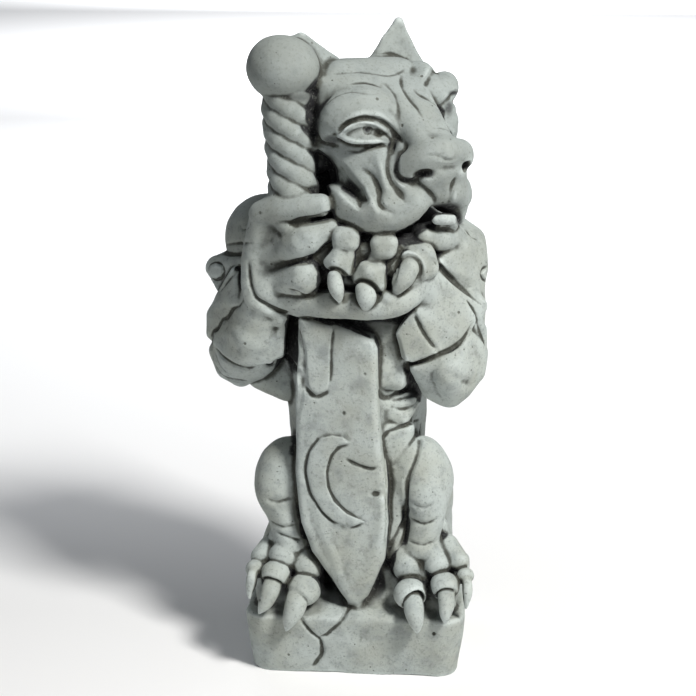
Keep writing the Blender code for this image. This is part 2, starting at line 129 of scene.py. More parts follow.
class Camera:
    """The photograph's viewpoint, to place the camera and to carve from where the lines are seen."""

    def __init__(self):
        a, e = math.radians(CAMERA_AZIMUTH), math.radians(CAMERA_ELEVATION)
        self.back = np.array([math.sin(a) * math.cos(e), -math.cos(a) * math.cos(e), math.sin(e)])
        self.right = np.array([math.cos(a), math.sin(a), 0.0])
        self.up = np.cross(self.back, self.right)
        self.at = AIM + self.back * CAMERA_DISTANCE

    def ray(self, across, down):
        """The unit direction from the camera through a picture point."""
        way = (across - AIM_ACROSS) / FOCAL * self.right - (down - AIM_DOWN) / FOCAL * self.up - self.back
        return way / np.linalg.norm(way)

    def seen(self, x, y, z):
        """The picture points of places."""
        dx, dy, dz = x - self.at[0], y - self.at[1], z - self.at[2]
        depth = -(dx * self.back[0] + dy * self.back[1] + dz * self.back[2])
        across = dx * self.right[0] + dy * self.right[1]
        up = dx * self.up[0] + dy * self.up[1] + dz * self.up[2]
        return AIM_ACROSS + FOCAL * across / depth, AIM_DOWN - FOCAL * up / depth


CAMERA = Camera()


def smooth(points, steps):
    """Catmull-Rom points through the given ones."""
    p = np.array(points, float)
    if len(p) < 3 or steps < 2:
        return p
    ends = np.vstack([2 * p[0] - p[1], p, 2 * p[-1] - p[-2]])
    line = []
    for a, b, c, d in zip(ends, ends[1:], ends[2:], ends[3:]):
        for step in range(steps):
            t = step / steps
            bend, twist = 2 * a - 5 * b + 4 * c - d, 3 * b - a - 3 * c + d
            line.append(b + (c - a) * t / 2 + bend * t**2 / 2 + twist * t**3 / 2)
    line.append(p[-1])
    return np.array(line)


def blended(a, b, k):
    """The lower of two fields, with a fillet of width k between them."""
    if k <= 0:
        return np.minimum(a, b)
    h = np.maximum(k - np.abs(a - b), 0) / k
    return np.minimum(a, b) - h * h * k * 0.25


def corner(a, b):
    """The distance to a block's edge, from the distances past the two faces that meet there."""
    return np.sqrt(np.maximum(a, 0) ** 2 + np.maximum(b, 0) ** 2) + np.minimum(np.maximum(a, b), 0)


def cone_distance(x, y, z, a, b):
    """How far places are from the skin of a tube between two balls."""
    ex, ey, ez = b[:3] - a[:3]
    px, py, pz = x - a[0], y - a[1], z - a[2]
    length = max(ex * ex + ey * ey + ez * ez, 1e-9)
    h = np.clip((px * ex + py * ey + pz * ez) / length, 0, 1)
    return np.sqrt((px - ex * h) ** 2 + (py - ey * h) ** 2 + (pz - ez * h) ** 2) - (a[3] + (b[3] - a[3]) * h)


def convex_faces(points):
    """The triangles and edges of the convex skin over a few points."""
    count = len(points)
    middle = points.mean(0)
    faces, edges = [], set()
    for i in range(count):
        for j in range(i + 1, count):
            for k in range(j + 1, count):
                normal = np.cross(points[j] - points[i], points[k] - points[i])
                size = np.linalg.norm(normal)
                if size < 1e-6:
                    continue
                normal /= size
                side = (points - points[i]) @ normal
                if side.max() < 1e-6 or side.min() > -1e-6:
                    if (middle - points[i]) @ normal > 0:
                        normal = -normal
                    faces.append((i, j, k, normal))
                    edges |= {(i, j), (i, k), (j, k)}
    return faces, edges


class Clay:
    """A lump of clay as a grid of distances to its skin, in millimetres, negative inside."""

    def __init__(self, low, high, step):
        self.step = step
        self.low = np.array(low, float)
        count = np.ceil((np.array(high) - self.low) / step).astype(int) + 1
        self.field = np.full(count, FAR, np.float32)
        self.axes = [(self.low[i] + step * np.arange(count[i])).astype(np.float32) for i in range(3)]
        self.where = BODY

    def within(self, where):
        """The same clay, with its forms placed in another frame."""
        same = copy.copy(self)
        same.where = where
        return same

    def seen(self, *points):
        """Balls at these picture points: each across, down, its y in the frame, and its radius."""
        balls = []
        for across, down, y, radius in points:
            way = CAMERA.ray(across, down)
            axis = self.where.turn[:, 1]
            run = (y * BEAST - (CAMERA.at - self.where.at) @ axis) / (way @ axis)
            spot = self.where.turn.T @ (CAMERA.at + way * run - self.where.at) / BEAST
            balls.append((*spot, radius))
        return balls

    def cells(self, low, high):
        """The slices of the grid that cover a box, and the places in it."""
        first = np.maximum(np.floor((np.asarray(low) - self.low) / self.step).astype(int), 0)
        last = np.ceil((np.asarray(high) - self.low) / self.step).astype(int) + 1
        last = np.minimum(last, self.field.shape)
        place = tuple(slice(a, max(a, b)) for a, b in zip(first, last))
        x = self.axes[0][place[0]][:, None, None]
        y = self.axes[1][place[1]][None, :, None]
        z = self.axes[2][place[2]][None, None, :]
        return place, x, y, z

    def put(self, place, distance, blend, cut=False):
        """Joins a form's distances to the clay there, or cuts them out of it."""
        distance = distance.astype(np.float32)
        if cut:
            self.field[place] = -blended(-self.field[place], distance, blend)
        else:
            self.field[place] = blended(self.field[place], distance, blend)

    def margin(self, blend):
        """How far past a form its blend and the grid still reach."""
        return blend + 2 * self.step + 1

    def egg(self, at, size, turn=(0, 0, 0), blend=3.0, cut=False):
        """An egg with these half sizes."""
        centre = self.where.place(at)
        matrix = self.where.turn @ turned(*turn)
        radii = np.array(size, float) * BEAST
        reach = np.sqrt(((matrix * radii) ** 2).sum(1)) + self.margin(blend)
        place, x, y, z = self.cells(centre - reach, centre + reach)
        dx, dy, dz = x - centre[0], y - centre[1], z - centre[2]
        local = [matrix[0, i] * dx + matrix[1, i] * dy + matrix[2, i] * dz for i in range(3)]
        near = np.sqrt(sum((v / r) ** 2 for v, r in zip(local, radii)))
        slope = np.sqrt(sum((v / r**2) ** 2 for v, r in zip(local, radii)))
        self.put(place, near * (near - 1) / np.maximum(slope, 1e-6), blend, cut)

    def blob(self, point, size, turn=(0, 0, 0), blend=3.0, cut=False):
        """An egg at a picture point: across, down and its y in the frame."""
        self.egg(self.seen((*point, 0))[0][:3], size, turn, blend, cut)

    def limb(self, balls, blend=3.0, steps=3, cut=False):
        """A rounded tube that bends smoothly through the balls, each x, y, z and radius."""
        line = smooth(self.where.balls(balls), steps)
        line[:, 3] = np.maximum(line[:, 3], 0.1)
        room = self.margin(blend)
        low = (line[:, :3] - line[:, 3:]).min(0) - room
        high = (line[:, :3] + line[:, 3:]).max(0) + room
        place, x, y, z = self.cells(low, high)
        nearest = np.full(self.field[place].shape, FAR, np.float32)
        start = [s.start for s in place]
        for a, b in zip(line, line[1:]):
            ends = np.array([a, b])
            low = (ends[:, :3] - ends[:, 3:]).min(0) - room
            high = (ends[:, :3] + ends[:, 3:]).max(0) + room
            part, px, py, pz = self.cells(low, high)
            inner = tuple(slice(s.start - o, s.stop - o) for s, o in zip(part, start))
            nearest[inner] = np.minimum(nearest[inner], cone_distance(px, py, pz, a, b))
        self.put(place, nearest, blend, cut)

    def hull(self, balls, blend=2.0):
        """The skin stretched over some balls."""
        balls = np.array(self.where.balls(balls))
        points, radii = balls[:, :3], balls[:, 3]
        if len(balls) < 4:
            faces, edges = [], {(i, j) for i in range(len(balls)) for j in range(i + 1, len(balls))}
            if len(balls) == 3:
                normal = np.cross(points[1] - points[0], points[2] - points[0])
                faces = [(0, 1, 2, normal / np.linalg.norm(normal))]
        else:
            faces, edges = convex_faces(points)
        room = self.margin(blend)
        low, high = (points - radii[:, None]).min(0) - room, (points + radii[:, None]).max(0) + room
        place, x, y, z = self.cells(low, high)
        nearest = np.full(self.field[place].shape, FAR, np.float32)
        for i, j in edges:
            nearest = np.minimum(nearest, cone_distance(x, y, z, balls[i], balls[j]))
        inside = np.full(nearest.shape, -FAR, np.float32)
        for i, j, k, normal in faces:
            a, ab, ac = points[i], points[j] - points[i], points[k] - points[i]
            height = (x - a[0]) * normal[0] + (y - a[1]) * normal[1] + (z - a[2]) * normal[2]
            inside = np.maximum(inside, height)
            area = np.cross(ab, ac)
            along, over = np.cross(ac, area), np.cross(area, ab)
            scale_j, scale_k = ab @ along, ac @ over
            share_j = ((x - a[0]) * along[0] + (y - a[1]) * along[1] + (z - a[2]) * along[2]) / scale_j
            share_k = ((x - a[0]) * over[0] + (y - a[1]) * over[1] + (z - a[2]) * over[2]) / scale_k
            within = (share_j >= 0) & (share_k >= 0) & (share_j + share_k <= 1)
            radius = radii[i] + (radii[j] - radii[i]) * share_j + (radii[k] - radii[i]) * share_k
            nearest = np.where(within, np.minimum(nearest, np.abs(height) - radius), nearest)
        if len(faces) > 1:
            nearest = np.where(inside < 0, np.minimum(nearest, inside), nearest)
        self.put(place, nearest, blend)

    def plate(self, outline, back, front, edge, blend):
        """A flat piece with this outline in x and z, from y = back forward to y = front."""
        line = np.array([BODY.place((x, 0, z))[[0, 2]] for x, z in outline])
        room = self.margin(blend)
        low = (line[:, 0].min() - room, front - room, line[:, 1].min() - room)
        high = (line[:, 0].max() + room, back + room, line[:, 1].max() + room)
        place, x, y, z = self.cells(low, high)
        across = outline_distance(x, z, line) + edge
        deep = np.abs(y - (back + front) / 2) - (back - front) / 2 + edge
        self.put(place, corner(across, deep) - edge, blend)

    def at(self, places, values=None):
        """The distance at some places, or another grid's value, from the nearest eight grid points."""
        values = self.field if values is None else values
        g = (np.asarray(places) - self.low) / self.step
        g = np.clip(g, 0, np.array(self.field.shape) - 1.001)
        i = g.astype(int)
        f = g - i
        total = 0
        for dx in (0, 1):
            for dy in (0, 1):
                for dz in (0, 1):
                    weight = (
                        (f[..., 0] if dx else 1 - f[..., 0])
                        * (f[..., 1] if dy else 1 - f[..., 1])
                        * (f[..., 2] if dz else 1 - f[..., 2])
                    )
                    total = total + weight * values[i[..., 0] + dx, i[..., 1] + dy, i[..., 2] + dz]
        return total

    def touch(self, points):
        """Where the rays through these picture points first meet the clay."""
        depths = np.arange(CAMERA_DISTANCE - MOST_BEFORE, CAMERA_DISTANCE + MOST_BEHIND, RAY_STEP)
        rays = np.array([CAMERA.ray(*point[:2]) for point in points])
        places = CAMERA.at + rays[:, None, :] * depths[None, :, None]
        inside = self.at(places) < 0
        hit = inside.any(1)
        first = inside.argmax(1)
        found = places[np.arange(len(points)), first]
        if not hit.any():
            return found
        for i in np.flatnonzero(~hit):
            closest = np.flatnonzero(hit)[np.abs(np.flatnonzero(hit) - i).argmin()]
            found[i] = CAMERA.at + rays[i] * depths[first[closest]]
        return found

    def stroke(self, points, width, height):
        """A line on the skin along picture points, raised by height, or cut in where it is negative."""
        line = self.touch(smooth(points, 4))
        lengths = np.concatenate([[0], np.cumsum(np.linalg.norm(np.diff(line, axis=0), axis=1))])
        share = lengths / max(lengths[-1], 1e-6)
        strength = np.minimum(1, 3.2 * np.minimum(share, 1 - share) + 0.25)
        room = 2.3 * width + self.step
        place, x, y, z = self.cells(line.min(0) - room, line.max(0) + room)
        nearest = np.full(self.field[place].shape, FAR, np.float32)
        power = np.zeros(nearest.shape, np.float32)
        start = [s.start for s in place]
        for a, b, sa, sb in zip(line, line[1:], strength, strength[1:]):
            if np.linalg.norm(b - a) > LONGEST_JUMP:
                continue
            part, px, py, pz = self.cells(np.minimum(a, b) - room, np.maximum(a, b) + room)
            inner = tuple(slice(s.start - o, s.stop - o) for s, o in zip(part, start))
            e = b - a
            along = (px - a[0]) * e[0] + (py - a[1]) * e[1] + (pz - a[2]) * e[2]
            h = np.clip(along / max(e @ e, 1e-9), 0, 1)
            dx, dy, dz = px - a[0] - e[0] * h, py - a[1] - e[1] * h, pz - a[2] - e[2] * h
            away = np.sqrt(dx**2 + dy**2 + dz**2)
            closer = away < nearest[inner]
            nearest[inner] = np.where(closer, away, nearest[inner])
            power[inner] = np.where(closer, sa + (sb - sa) * h, power[inner])
        self.field[place] -= height * power * np.exp(-((nearest / width) ** 2))

    def raised(self, outline, height, soft, deep=26.0):
        """Lifts the skin inside an outline of picture points, or sinks it where height is negative."""
        found = self.touch(outline)
        middle = np.median(found, axis=0)
        low, high = found.min(0) - 6, found.max(0) + 6
        low[1], high[1] = middle[1] - deep, middle[1] + deep
        place, x, y, z = self.cells(low, high)
        across, down = CAMERA.seen(x, y, z)
        inside = np.clip(0.5 - outline_distance(across, down, outline) / (2 * soft), 0, 1)
        inside = inside * inside * (3 - 2 * inside)
        edge = np.clip((deep - np.abs(y - middle[1])) / 6, 0, 1)
        self.field[place] -= (height * inside * edge).astype(np.float32)

    def soften(self, low, high, reach):
        """Wears the clay round inside a box."""
        place = self.cells(low, high)[0]
        self.field[place] = box_blur(self.field[place], max(1, round(reach / self.step)))

    def weather(self, height, size):
        """Makes every face a little uneven, with bumps about six sizes across."""
        x, y, z = (axis / size for axis in self.axes)
        across = np.sin(x[:, None] + 1.3 * y[None, :])
        along = np.sin(1.1 * z + 0.7)
        slant = np.cos(0.8 * x[:, None] - 0.9 * y[None, :])
        rise = np.cos(0.83 * z + 1.9)
        self.field += height * (across[:, :, None] * along + slant[:, :, None] * rise)

    def skin(self):
        """Surface nets: a point for each crossed cell and a face for each crossed edge."""
        field = self.field
        inside = field < 0
        strides = (field.shape[1] * field.shape[2], field.shape[2], 1)
        flat = field.ravel()
        cells, sums, quads = [], [], []
        for axis in range(3):
            one = [slice(None)] * 3
            two = [slice(None)] * 3
            one[axis], two[axis] = slice(0, -1), slice(1, None)
            index = np.argwhere(inside[tuple(one)] != inside[tuple(two)])
            o1, o2 = [(1, 2), (2, 0), (0, 1)][axis]
            index = index[(index[:, o1] > 0) & (index[:, o2] > 0)]
            at = index @ np.array(strides)
            before, after = flat[at], flat[at + strides[axis]]
            crossing = index.astype(np.float64)
            crossing[:, axis] += before / (before - after)
            four = np.stack([at, at - strides[o1], at - strides[o1] - strides[o2], at - strides[o2]], 1)
            cells.append(four.ravel())
            sums.append(np.repeat(crossing, 4, axis=0))
            outward = before > 0
            four[outward] = four[outward][:, ::-1]
            quads.append(four)
        cells, sums, quads = np.concatenate(cells), np.concatenate(sums), np.concatenate(quads)
        used, back = np.unique(cells, return_inverse=True)
        count = np.bincount(back)
        points = np.stack([np.bincount(back, weights=sums[:, i]) / count for i in range(3)], 1)
        return points * self.step + self.low, np.searchsorted(used, quads)


def outline_distance(x, y, outline):
    """Signed distance from places to a closed outline in a plane, negative inside."""
    nearest = None
    inside = None
    for (ax, ay), (bx, by) in zip(outline, np.roll(outline, -1, axis=0)):
        ex, ey = bx - ax, by - ay
        px, py = x - ax, y - ay
        h = np.clip((px * ex + py * ey) / max(ex * ex + ey * ey, 1e-9), 0, 1)
        away = (px - ex * h) ** 2 + (py - ey * h) ** 2
        nearest = away if nearest is None else np.minimum(nearest, away)
        crosses = ((ay > y) != (by > y)) & (px * (by - ay) * np.sign(by - ay) < ex * py * np.sign(by - ay))
        inside = crosses if inside is None else inside ^ crosses
    return np.where(inside, -1, 1) * np.sqrt(nearest)


def in_beast(length):
    """A real length in the beast's units."""
    return length / BEAST


def plinth(clay):
    """A low block with round upright corners, a worn top edge and sides that fall in towards the foot."""
    x0, y0 = PLINTH_WIDTH / 2, PLINTH_DEPTH / 2
    place, x, y, z = clay.cells((-x0 - 8, -y0 - 8, -6), (x0 + 8, y0 + 8, PLINTH_TOP + 8))
    fall = PLINTH_TAPER * (1 - z / PLINTH_TOP)
    bulge = 1.2 * np.sin(x / 23 + 1.3) * np.sin(y / 31 + z / 27) + 0.8 * np.sin(x / 11 + y / 13 + z / 9)
    dx = np.abs(x) - (x0 - fall - PLINTH_CORNER)
    dy = np.abs(y) - (y0 - fall - PLINTH_CORNER)
    wall = corner(dx, dy) - PLINTH_CORNER + PLINTH_EDGE - bulge * 0.5
    lid = z - PLINTH_TOP + PLINTH_EDGE - bulge * 0.3
    clay.put(place, np.maximum(corner(wall, lid) - PLINTH_EDGE, -z), 0)


def sword(clay):
    """Blade with its point on the plinth, cross-guard, twisted grip and ball pommel."""
    half = in_beast(BLADE_WIDTH) / 2
    top = in_beast(BLADE_LENGTH)
    middle, front = -13, -88
    back = front + in_beast(BLADE_THICKNESS)
    left = [(0.99, -0.88), (0.80, -1.0), (0.48, -1.04), (0.31, -0.92), (0.21, -0.66), (0.13, -0.28),
        (0.065, 0.04), (0.036, 0.22)]
    right = [(0.030, 0.42), (0.060, 0.66), (0.12, 0.86), (0.19, 1.04), (0.31, 1.13), (0.44, 1.10),
        (0.56, 0.96), (0.75, 0.88)]
    slant = [(0.895, 0.86), (0.925, 0.76), (0.965, 0.30), (0.985, -0.12)]
    outline = [(middle + half * across, top * up) for up, across in [*left, *right, *slant]]
    clay.plate(outline, back, front, edge=7, blend=3)
    bar = in_beast(GUARD_THICKNESS) / 2
    ends = [(-50, -78, 302, bar * 0.9), (-14, -90, 304, bar), (26, -92, 304, bar),
        (50, -84, 312, bar * 0.9)]
    clay.limb([*ends, (58, -74, 324, bar * 0.7)], blend=3)
    grip = in_beast(GRIP_DIAMETER) / 2
    foot = np.array([-52, -72, 350.0])
    head = np.array([-61, -72, 350 + in_beast(GRIP_LENGTH)])
    clay.limb([(*foot, grip * 0.8), (*head, grip * 0.85)])
    up = (head - foot) / np.linalg.norm(head - foot)
    side = np.array([1, 0, 0]) - up * up[0]
    side /= np.linalg.norm(side)
    fore = np.cross(up, side)
    for strand in range(GRIP_STRANDS):
        rope = []
        for step in range(ROPE_PARTS + 1):
            share = step / ROPE_PARTS
            angle = math.tau * (strand / GRIP_STRANDS - GRIP_TURNS * share)
            out = side * math.cos(angle) + fore * math.sin(angle)
            rope.append((*(foot + (head - foot) * share + out * grip * 0.56), grip * 0.46))
        clay.limb(rope, blend=1.2, steps=1)
    width, height = in_beast(POMMEL_WIDTH) / 2, in_beast(POMMEL_HEIGHT) / 2
    clay.egg((-64, -72, 513), (width, width, height), blend=1)
    clay.hull([(-44, -62, 480, 10), (-36, -50, 430, 14), (-34, -40, 480, 14)], blend=3)


# The toes from the viewer's left: root, knuckle, hood and claw, as picture points with depth and radius
TOES = (
    ((270, 548, -56, 12), (263, 557, -64, 12), (256, 569, -76, 10),
        [(252.5, 575, -86, 5.2), (250.5, 586, -90, 5.4), (249.5, 600, -91, 1.5)]),
    ((292, 545, -60, 13), (284, 556, -70, 14.5), (276, 574, -84, 14),
        [(273, 583, -90, 8.6), (270.5, 591, -97, 9), (265.5, 602, -102, 7), (259, 613, -104, 1.6)]),
    ((304, 548, -60, 13), (308, 566, -71, 15.5), (304, 589, -86, 16.5),
        [(297, 596, -94, 9.2), (295.5, 606, -101, 10), (291, 618, -106, 7.5), (286.5, 630, -107, 1.8)]),
    ((405, 550, -58, 13), (407, 566, -69, 14.5), (410, 593, -86, 16),
        [(413.5, 601, -95, 9), (414.5, 610, -102, 9.4), (416, 621, -107, 7.2), (417.5, 632, -107, 1.8)]),
    ((430, 548, -60, 13), (436, 563, -69, 13.5), (444.5, 586, -84, 14.2),
        [(446, 595, -92, 8), (446, 604, -98, 8.2), (445.5, 613, -103, 6.2), (445, 623, -103, 1.8)]),
    ((447, 545, -54, 11), (458, 561, -65, 10.5), (465, 576, -77, 8.6),
        [(467, 583, -85, 4.6), (467.5, 593, -89, 4.8), (466, 609, -90, 1.5)]),
)


def toe(clay, root, knuckle, hood, claw):
    """A toe: its joint, the hood round its nail and the fat hooked claw, all at picture points."""
    root, knuckle, hood = clay.seen(root, knuckle, hood)
    nail = clay.seen(*claw)
    clay.limb([root, knuckle], blend=4)
    clay.egg(hood[:3], (hood[3], hood[3], hood[3] * 0.94), blend=0.8)
    clay.limb([(x, y, z, radius + 1.9) for x, y, z, radius in nail], blend=0.4, steps=4, cut=True)
    clay.limb([(*hood[:3], hood[3] * 0.5), *nail], blend=0.3, steps=4)


def feet(clay):
    """Heels and insteps, the mound between the feet, and the toes."""
    for side in (-1, 1):
        clay.hull([(side * 60, -58, 34, 20), (side * 68, -20, 16, 24), (side * 60, -54, 44, 18),
            (side * 74, -34, 34, 18)], blend=5)
        clay.hull([(side * 84, -62, 6, 12), (side * 46, -64, 6, 12), (side * 84, -50, 24, 16),
            (side * 48, -54, 26, 16)], blend=5)
    clay.hull([(18, -46, 6, 14), (40, -60, 8, 12), (14, -36, 70, 14), (34, -42, 62, 14)], blend=5)
    clay.hull([(-70, -70, -4, 8), (6, -84, -3, 8), (76, -70, -4, 8), (0, -30, 6, 14), (-20, -60, 2, 10),
        (30, -60, 4, 10)], blend=12)
    for root, knuckle, hood, claw in TOES:
        toe(clay, root, knuckle, hood, claw)


def legs(clay):
    """Thighs and heels, each knee with its shin and ankle ring, the lap and the seat."""
    for side in (-1, 1):
        clay.limb([(side * 44, 42, 60, 44), (side * 54, -4, 104, 36), (side * 60, -36, 122, 31)], blend=8)
        clay.hull([(side * 72, -34, 70, 15), (side * 78, -32, 44, 18), (side * 68, -18, 22, 20)], blend=6)
    clay.egg((-68, -48, 120), (30, 28, 42), (0, 4, 0), blend=6)
    clay.egg((-77, -61, 114), (18, 17, 24), blend=4)
    clay.limb([(-70, -54, 106, 21), (-66, -60, 86, 18), (-62, -62, 62, 15)], blend=4)
    clay.limb([(-76, -58, 66, 8), (-62, -70, 62, 9), (-48, -64, 64, 8)], blend=1.5)
    clay.egg((62, -46, 124), (28, 28, 42), (0, -4, 0), blend=6)
    clay.egg((64, -62, 114), (18, 16, 24), blend=4)
    clay.egg((64, -62, 96), (15, 13, 8), blend=3)
    clay.limb([(68, -54, 104, 19), (66, -58, 86, 17), (62, -62, 62, 16)], blend=4)
    clay.limb([(80, -58, 63, 6), (66, -71, 58, 7), (50, -64, 62, 6)], blend=1.5)
    clay.hull([(42, -38, 104, 13), (46, -36, 60, 16), (10, -30, 80, 20), (12, -30, 110, 20)], blend=6)
    clay.hull([(-50, 44, 30, 38), (50, 44, 30, 38), (-38, 40, 86, 38), (38, 40, 86, 38)], blend=10)


def body(clay):
    """Trunk from the seat to the neck, with the loin cloth, belly plates and chest plate."""
    clay.limb([(0, 26, 60, 56), (-3, 6, 130, 64), (-4, -2, 192, 67), (-6, 2, 280, 68), (-6, 10, 335, 62)],
        blend=8)
    clay.limb([(-90, 4, 338, 36), (-8, 20, 350, 52), (82, 4, 326, 36)], blend=8)
    clay.limb([(-4, 22, 350, 56), (8, 10, 410, 48)], blend=8)
    clay.hull([(-96, 6, 330, 24), (-98, 0, 262, 20), (-40, 30, 330, 36), (-40, 26, 262, 34)], blend=8)
    clay.hull([(84, 6, 318, 24), (82, 0, 258, 20), (30, 30, 324, 36), (30, 26, 258, 34)], blend=8)
    clay.hull([(20, -56, 178, 8), (46, -48, 174, 8), (40, -54, 120, 8), (24, -60, 58, 8), (32, -56, 58, 6)],
        blend=2)
    clay.hull(clay.seen((394, 470, -56, 8), (398, 530, -58, 8), (392, 552, -60, 8), (404, 500, -50, 9)),
        blend=3)
    clay.hull([(20, -52, 192, 9), (42, -50, 186, 8), (50, -40, 200, 10), (22, -50, 214, 9)], blend=1.5)
    clay.hull([(6, -50, 276, 16), (42, -48, 276, 14), (22, -56, 228, 14), (38, -54, 224, 11)], blend=1.5)


def back(clay):
    """The plainer side: shoulder blades, the knuckles of the spine and the haunches."""
    for side in (-1, 1):
        clay.egg((side * 40 - 5, 44, 316), (34, 24, 44), (12, 0, side * -14), blend=8)
        clay.egg((side * 50, 32, 84), (36, 46, 44), (-14, 0, 0), blend=8)
    spine = [(0, 76, 78, 8), (-2, 68, 120, 9), (-4, 60, 176, 9), (-5, 62, 250, 9), (-5, 72, 326, 9.5),
        (4, 66, 386, 9)]
    clay.limb(spine, blend=6)
    for x, y, z, radius in smooth(spine, 3):
        clay.egg((x, y + 3, z), (radius, radius, radius * 0.86), blend=3)


def left_arm(clay):
    """The arm at the viewer's left: shoulder, lame with its rivet, and three plates round the elbow."""
    clay.egg((-90, -8, 345), (38, 38, 43), blend=2)
    clay.hull([(-135, -14, 318, 12), (-122, -28, 318, 14), (-106, -46, 330, 6), (-106, -8, 324, 18),
        (-128, -24, 303, 9)], blend=1.2)
    clay.limb([(-104, -4, 310, 28), (-108, -24, 256, 30), (-100, -40, 250, 30), (-80, -66, 310, 22)],
        blend=3)
    clay.hull([(-133, -28, 240, 10), (-126, -28, 224, 12), (-112, -36, 220, 12), (-88, -48, 236, 12),
        (-98, -20, 240, 24)], blend=1.5)
    clay.hull([(-94, -22, 216, 14), (-68, -24, 205, 14), (-60, -14, 236, 20)], blend=3)
    rim = [(-112, -50, 322, 5), (-126, -36, 296, 8), (-137, -28, 276, 8), (-138, -28, 258, 7)]
    clay.hull([*rim, (-108, -62, 298, 4), (-112, -30, 270, 24)], blend=1.2)
    shell = [(-101, -66, 292, 4), (-68, -70, 280, 5), (-70, -66, 250, 5), (-92, -64, 238, 5),
        (-112, -58, 240, 5)]
    clay.hull([*shell, (-132, -42, 250, 5), (-130, -42, 258, 5), (-98, -56, 266, 22)], blend=1.2)
    clay.limb([(-128, -38, 290, 8), (-112, -54, 296, 8), (-96, -68, 288, 7), (-70, -74, 284, 7)], blend=3)


def right_arm(clay):
    """The arm at the viewer's right: shoulder plate, three plates on the forearm and the elbow."""
    clay.limb([(84, 0, 330, 32), (90, -24, 262, 28), (84, -46, 240, 24)], blend=4)
    dome = [(82, -8, 354, 20), (101, -12, 345, 17), (106, -16, 324, 15), (110, -28, 296, 6)]
    clay.hull([*dome, (76, -70, 340, 4), (90, -44, 346, 15), (100, -44, 322, 9)], blend=1.5)
    clay.limb([(68, -53, 300, 19), (48, -76, 334, 22)], blend=4)
    clay.hull(clay.seen((455, 292, -44, 11), (478, 306, -38, 9), (446, 286, -52, 11), (470, 320, -40, 11)),
        blend=5)
    cop = [(58, -62, 238, 8), (76, -66, 242, 8), (101, -52, 266, 8), (110, -38, 248, 12),
        (108, -38, 229, 12)]
    clay.hull([*cop, (94, -44, 217, 15), (86, -46, 210, 14), (72, -50, 216, 13), (86, -62, 236, 17)],
        blend=1.5)
    clay.hull([(104, -42, 290, 8), (113, -34, 268, 8), (114, -32, 250, 7), (100, -40, 272, 12)], blend=1.2)
    inner = clay.seen((412, 314, -76, 4), (437, 350, -68, 5), (407, 358, -70, 5), (400, 334, -74, 4),
        (418, 337, -60, 17))
    clay.hull(inner, blend=1.5)
    bracer = clay.seen((436, 272, -66, 5), (472, 318, -52, 5), (460, 338, -58, 5), (441, 350, -64, 5),
        (416, 312, -78, 4))
    clay.hull([*bracer, *clay.seen((447, 314, -40, 24))], blend=1.5)


def fist(clay):
    """The fist round the foot of the grip: wrist, palm, thumb and three fingers."""
    clay.hull([(-76, -56, 352, 22), (-66, -58, 320, 22), (-84, -56, 336, 20), (-78, -60, 368, 20),
        (-56, -62, 366, 14)], blend=5)
    palm = clay.seen((272, 222, -68, 12), (318, 216, -66, 12), (266, 252, -64, 12), (266, 282, -64, 12),
        (326, 268, -72, 12))
    clay.hull([*palm, *clay.seen((330, 240, -74, 12), (284, 262, -66, 13), (284, 296, -64, 12),
        (284, 232, -74, 13))], blend=5)
    edge = [(266, 214, -76, 12.5), (258, 238, -70, 10.5), (254.5, 262, -67, 10.5), (260, 286, -68, 11),
        (278, 299, -72, 10)]
    clay.limb(clay.seen(*edge, (300, 303, -78, 8.5)), blend=10)
    clay.limb(clay.seen((262, 214, -76, 12), (280, 208.5, -84, 12.8), (304, 206.5, -90, 11),
        (321, 205, -90, 10.3)), blend=3)
    clay.limb(clay.seen((270, 251, -73, 10), (284, 248, -79, 12), (301, 242, -91, 15.5),
        (317, 233.5, -89, 11.5), (331, 228, -87, 9)), blend=4)
    clay.limb(clay.seen((268, 284, -72, 11), (284, 281, -78, 13), (304, 276.5, -88, 16.5)), blend=4)
    clay.blob((277, 234, -75), (10, 6, 9), blend=6)
    clay.limb(clay.seen((268, 299, -70, 8.5), (288, 299, -79, 9.2), (306, 300, -82, 8.2)), blend=2)


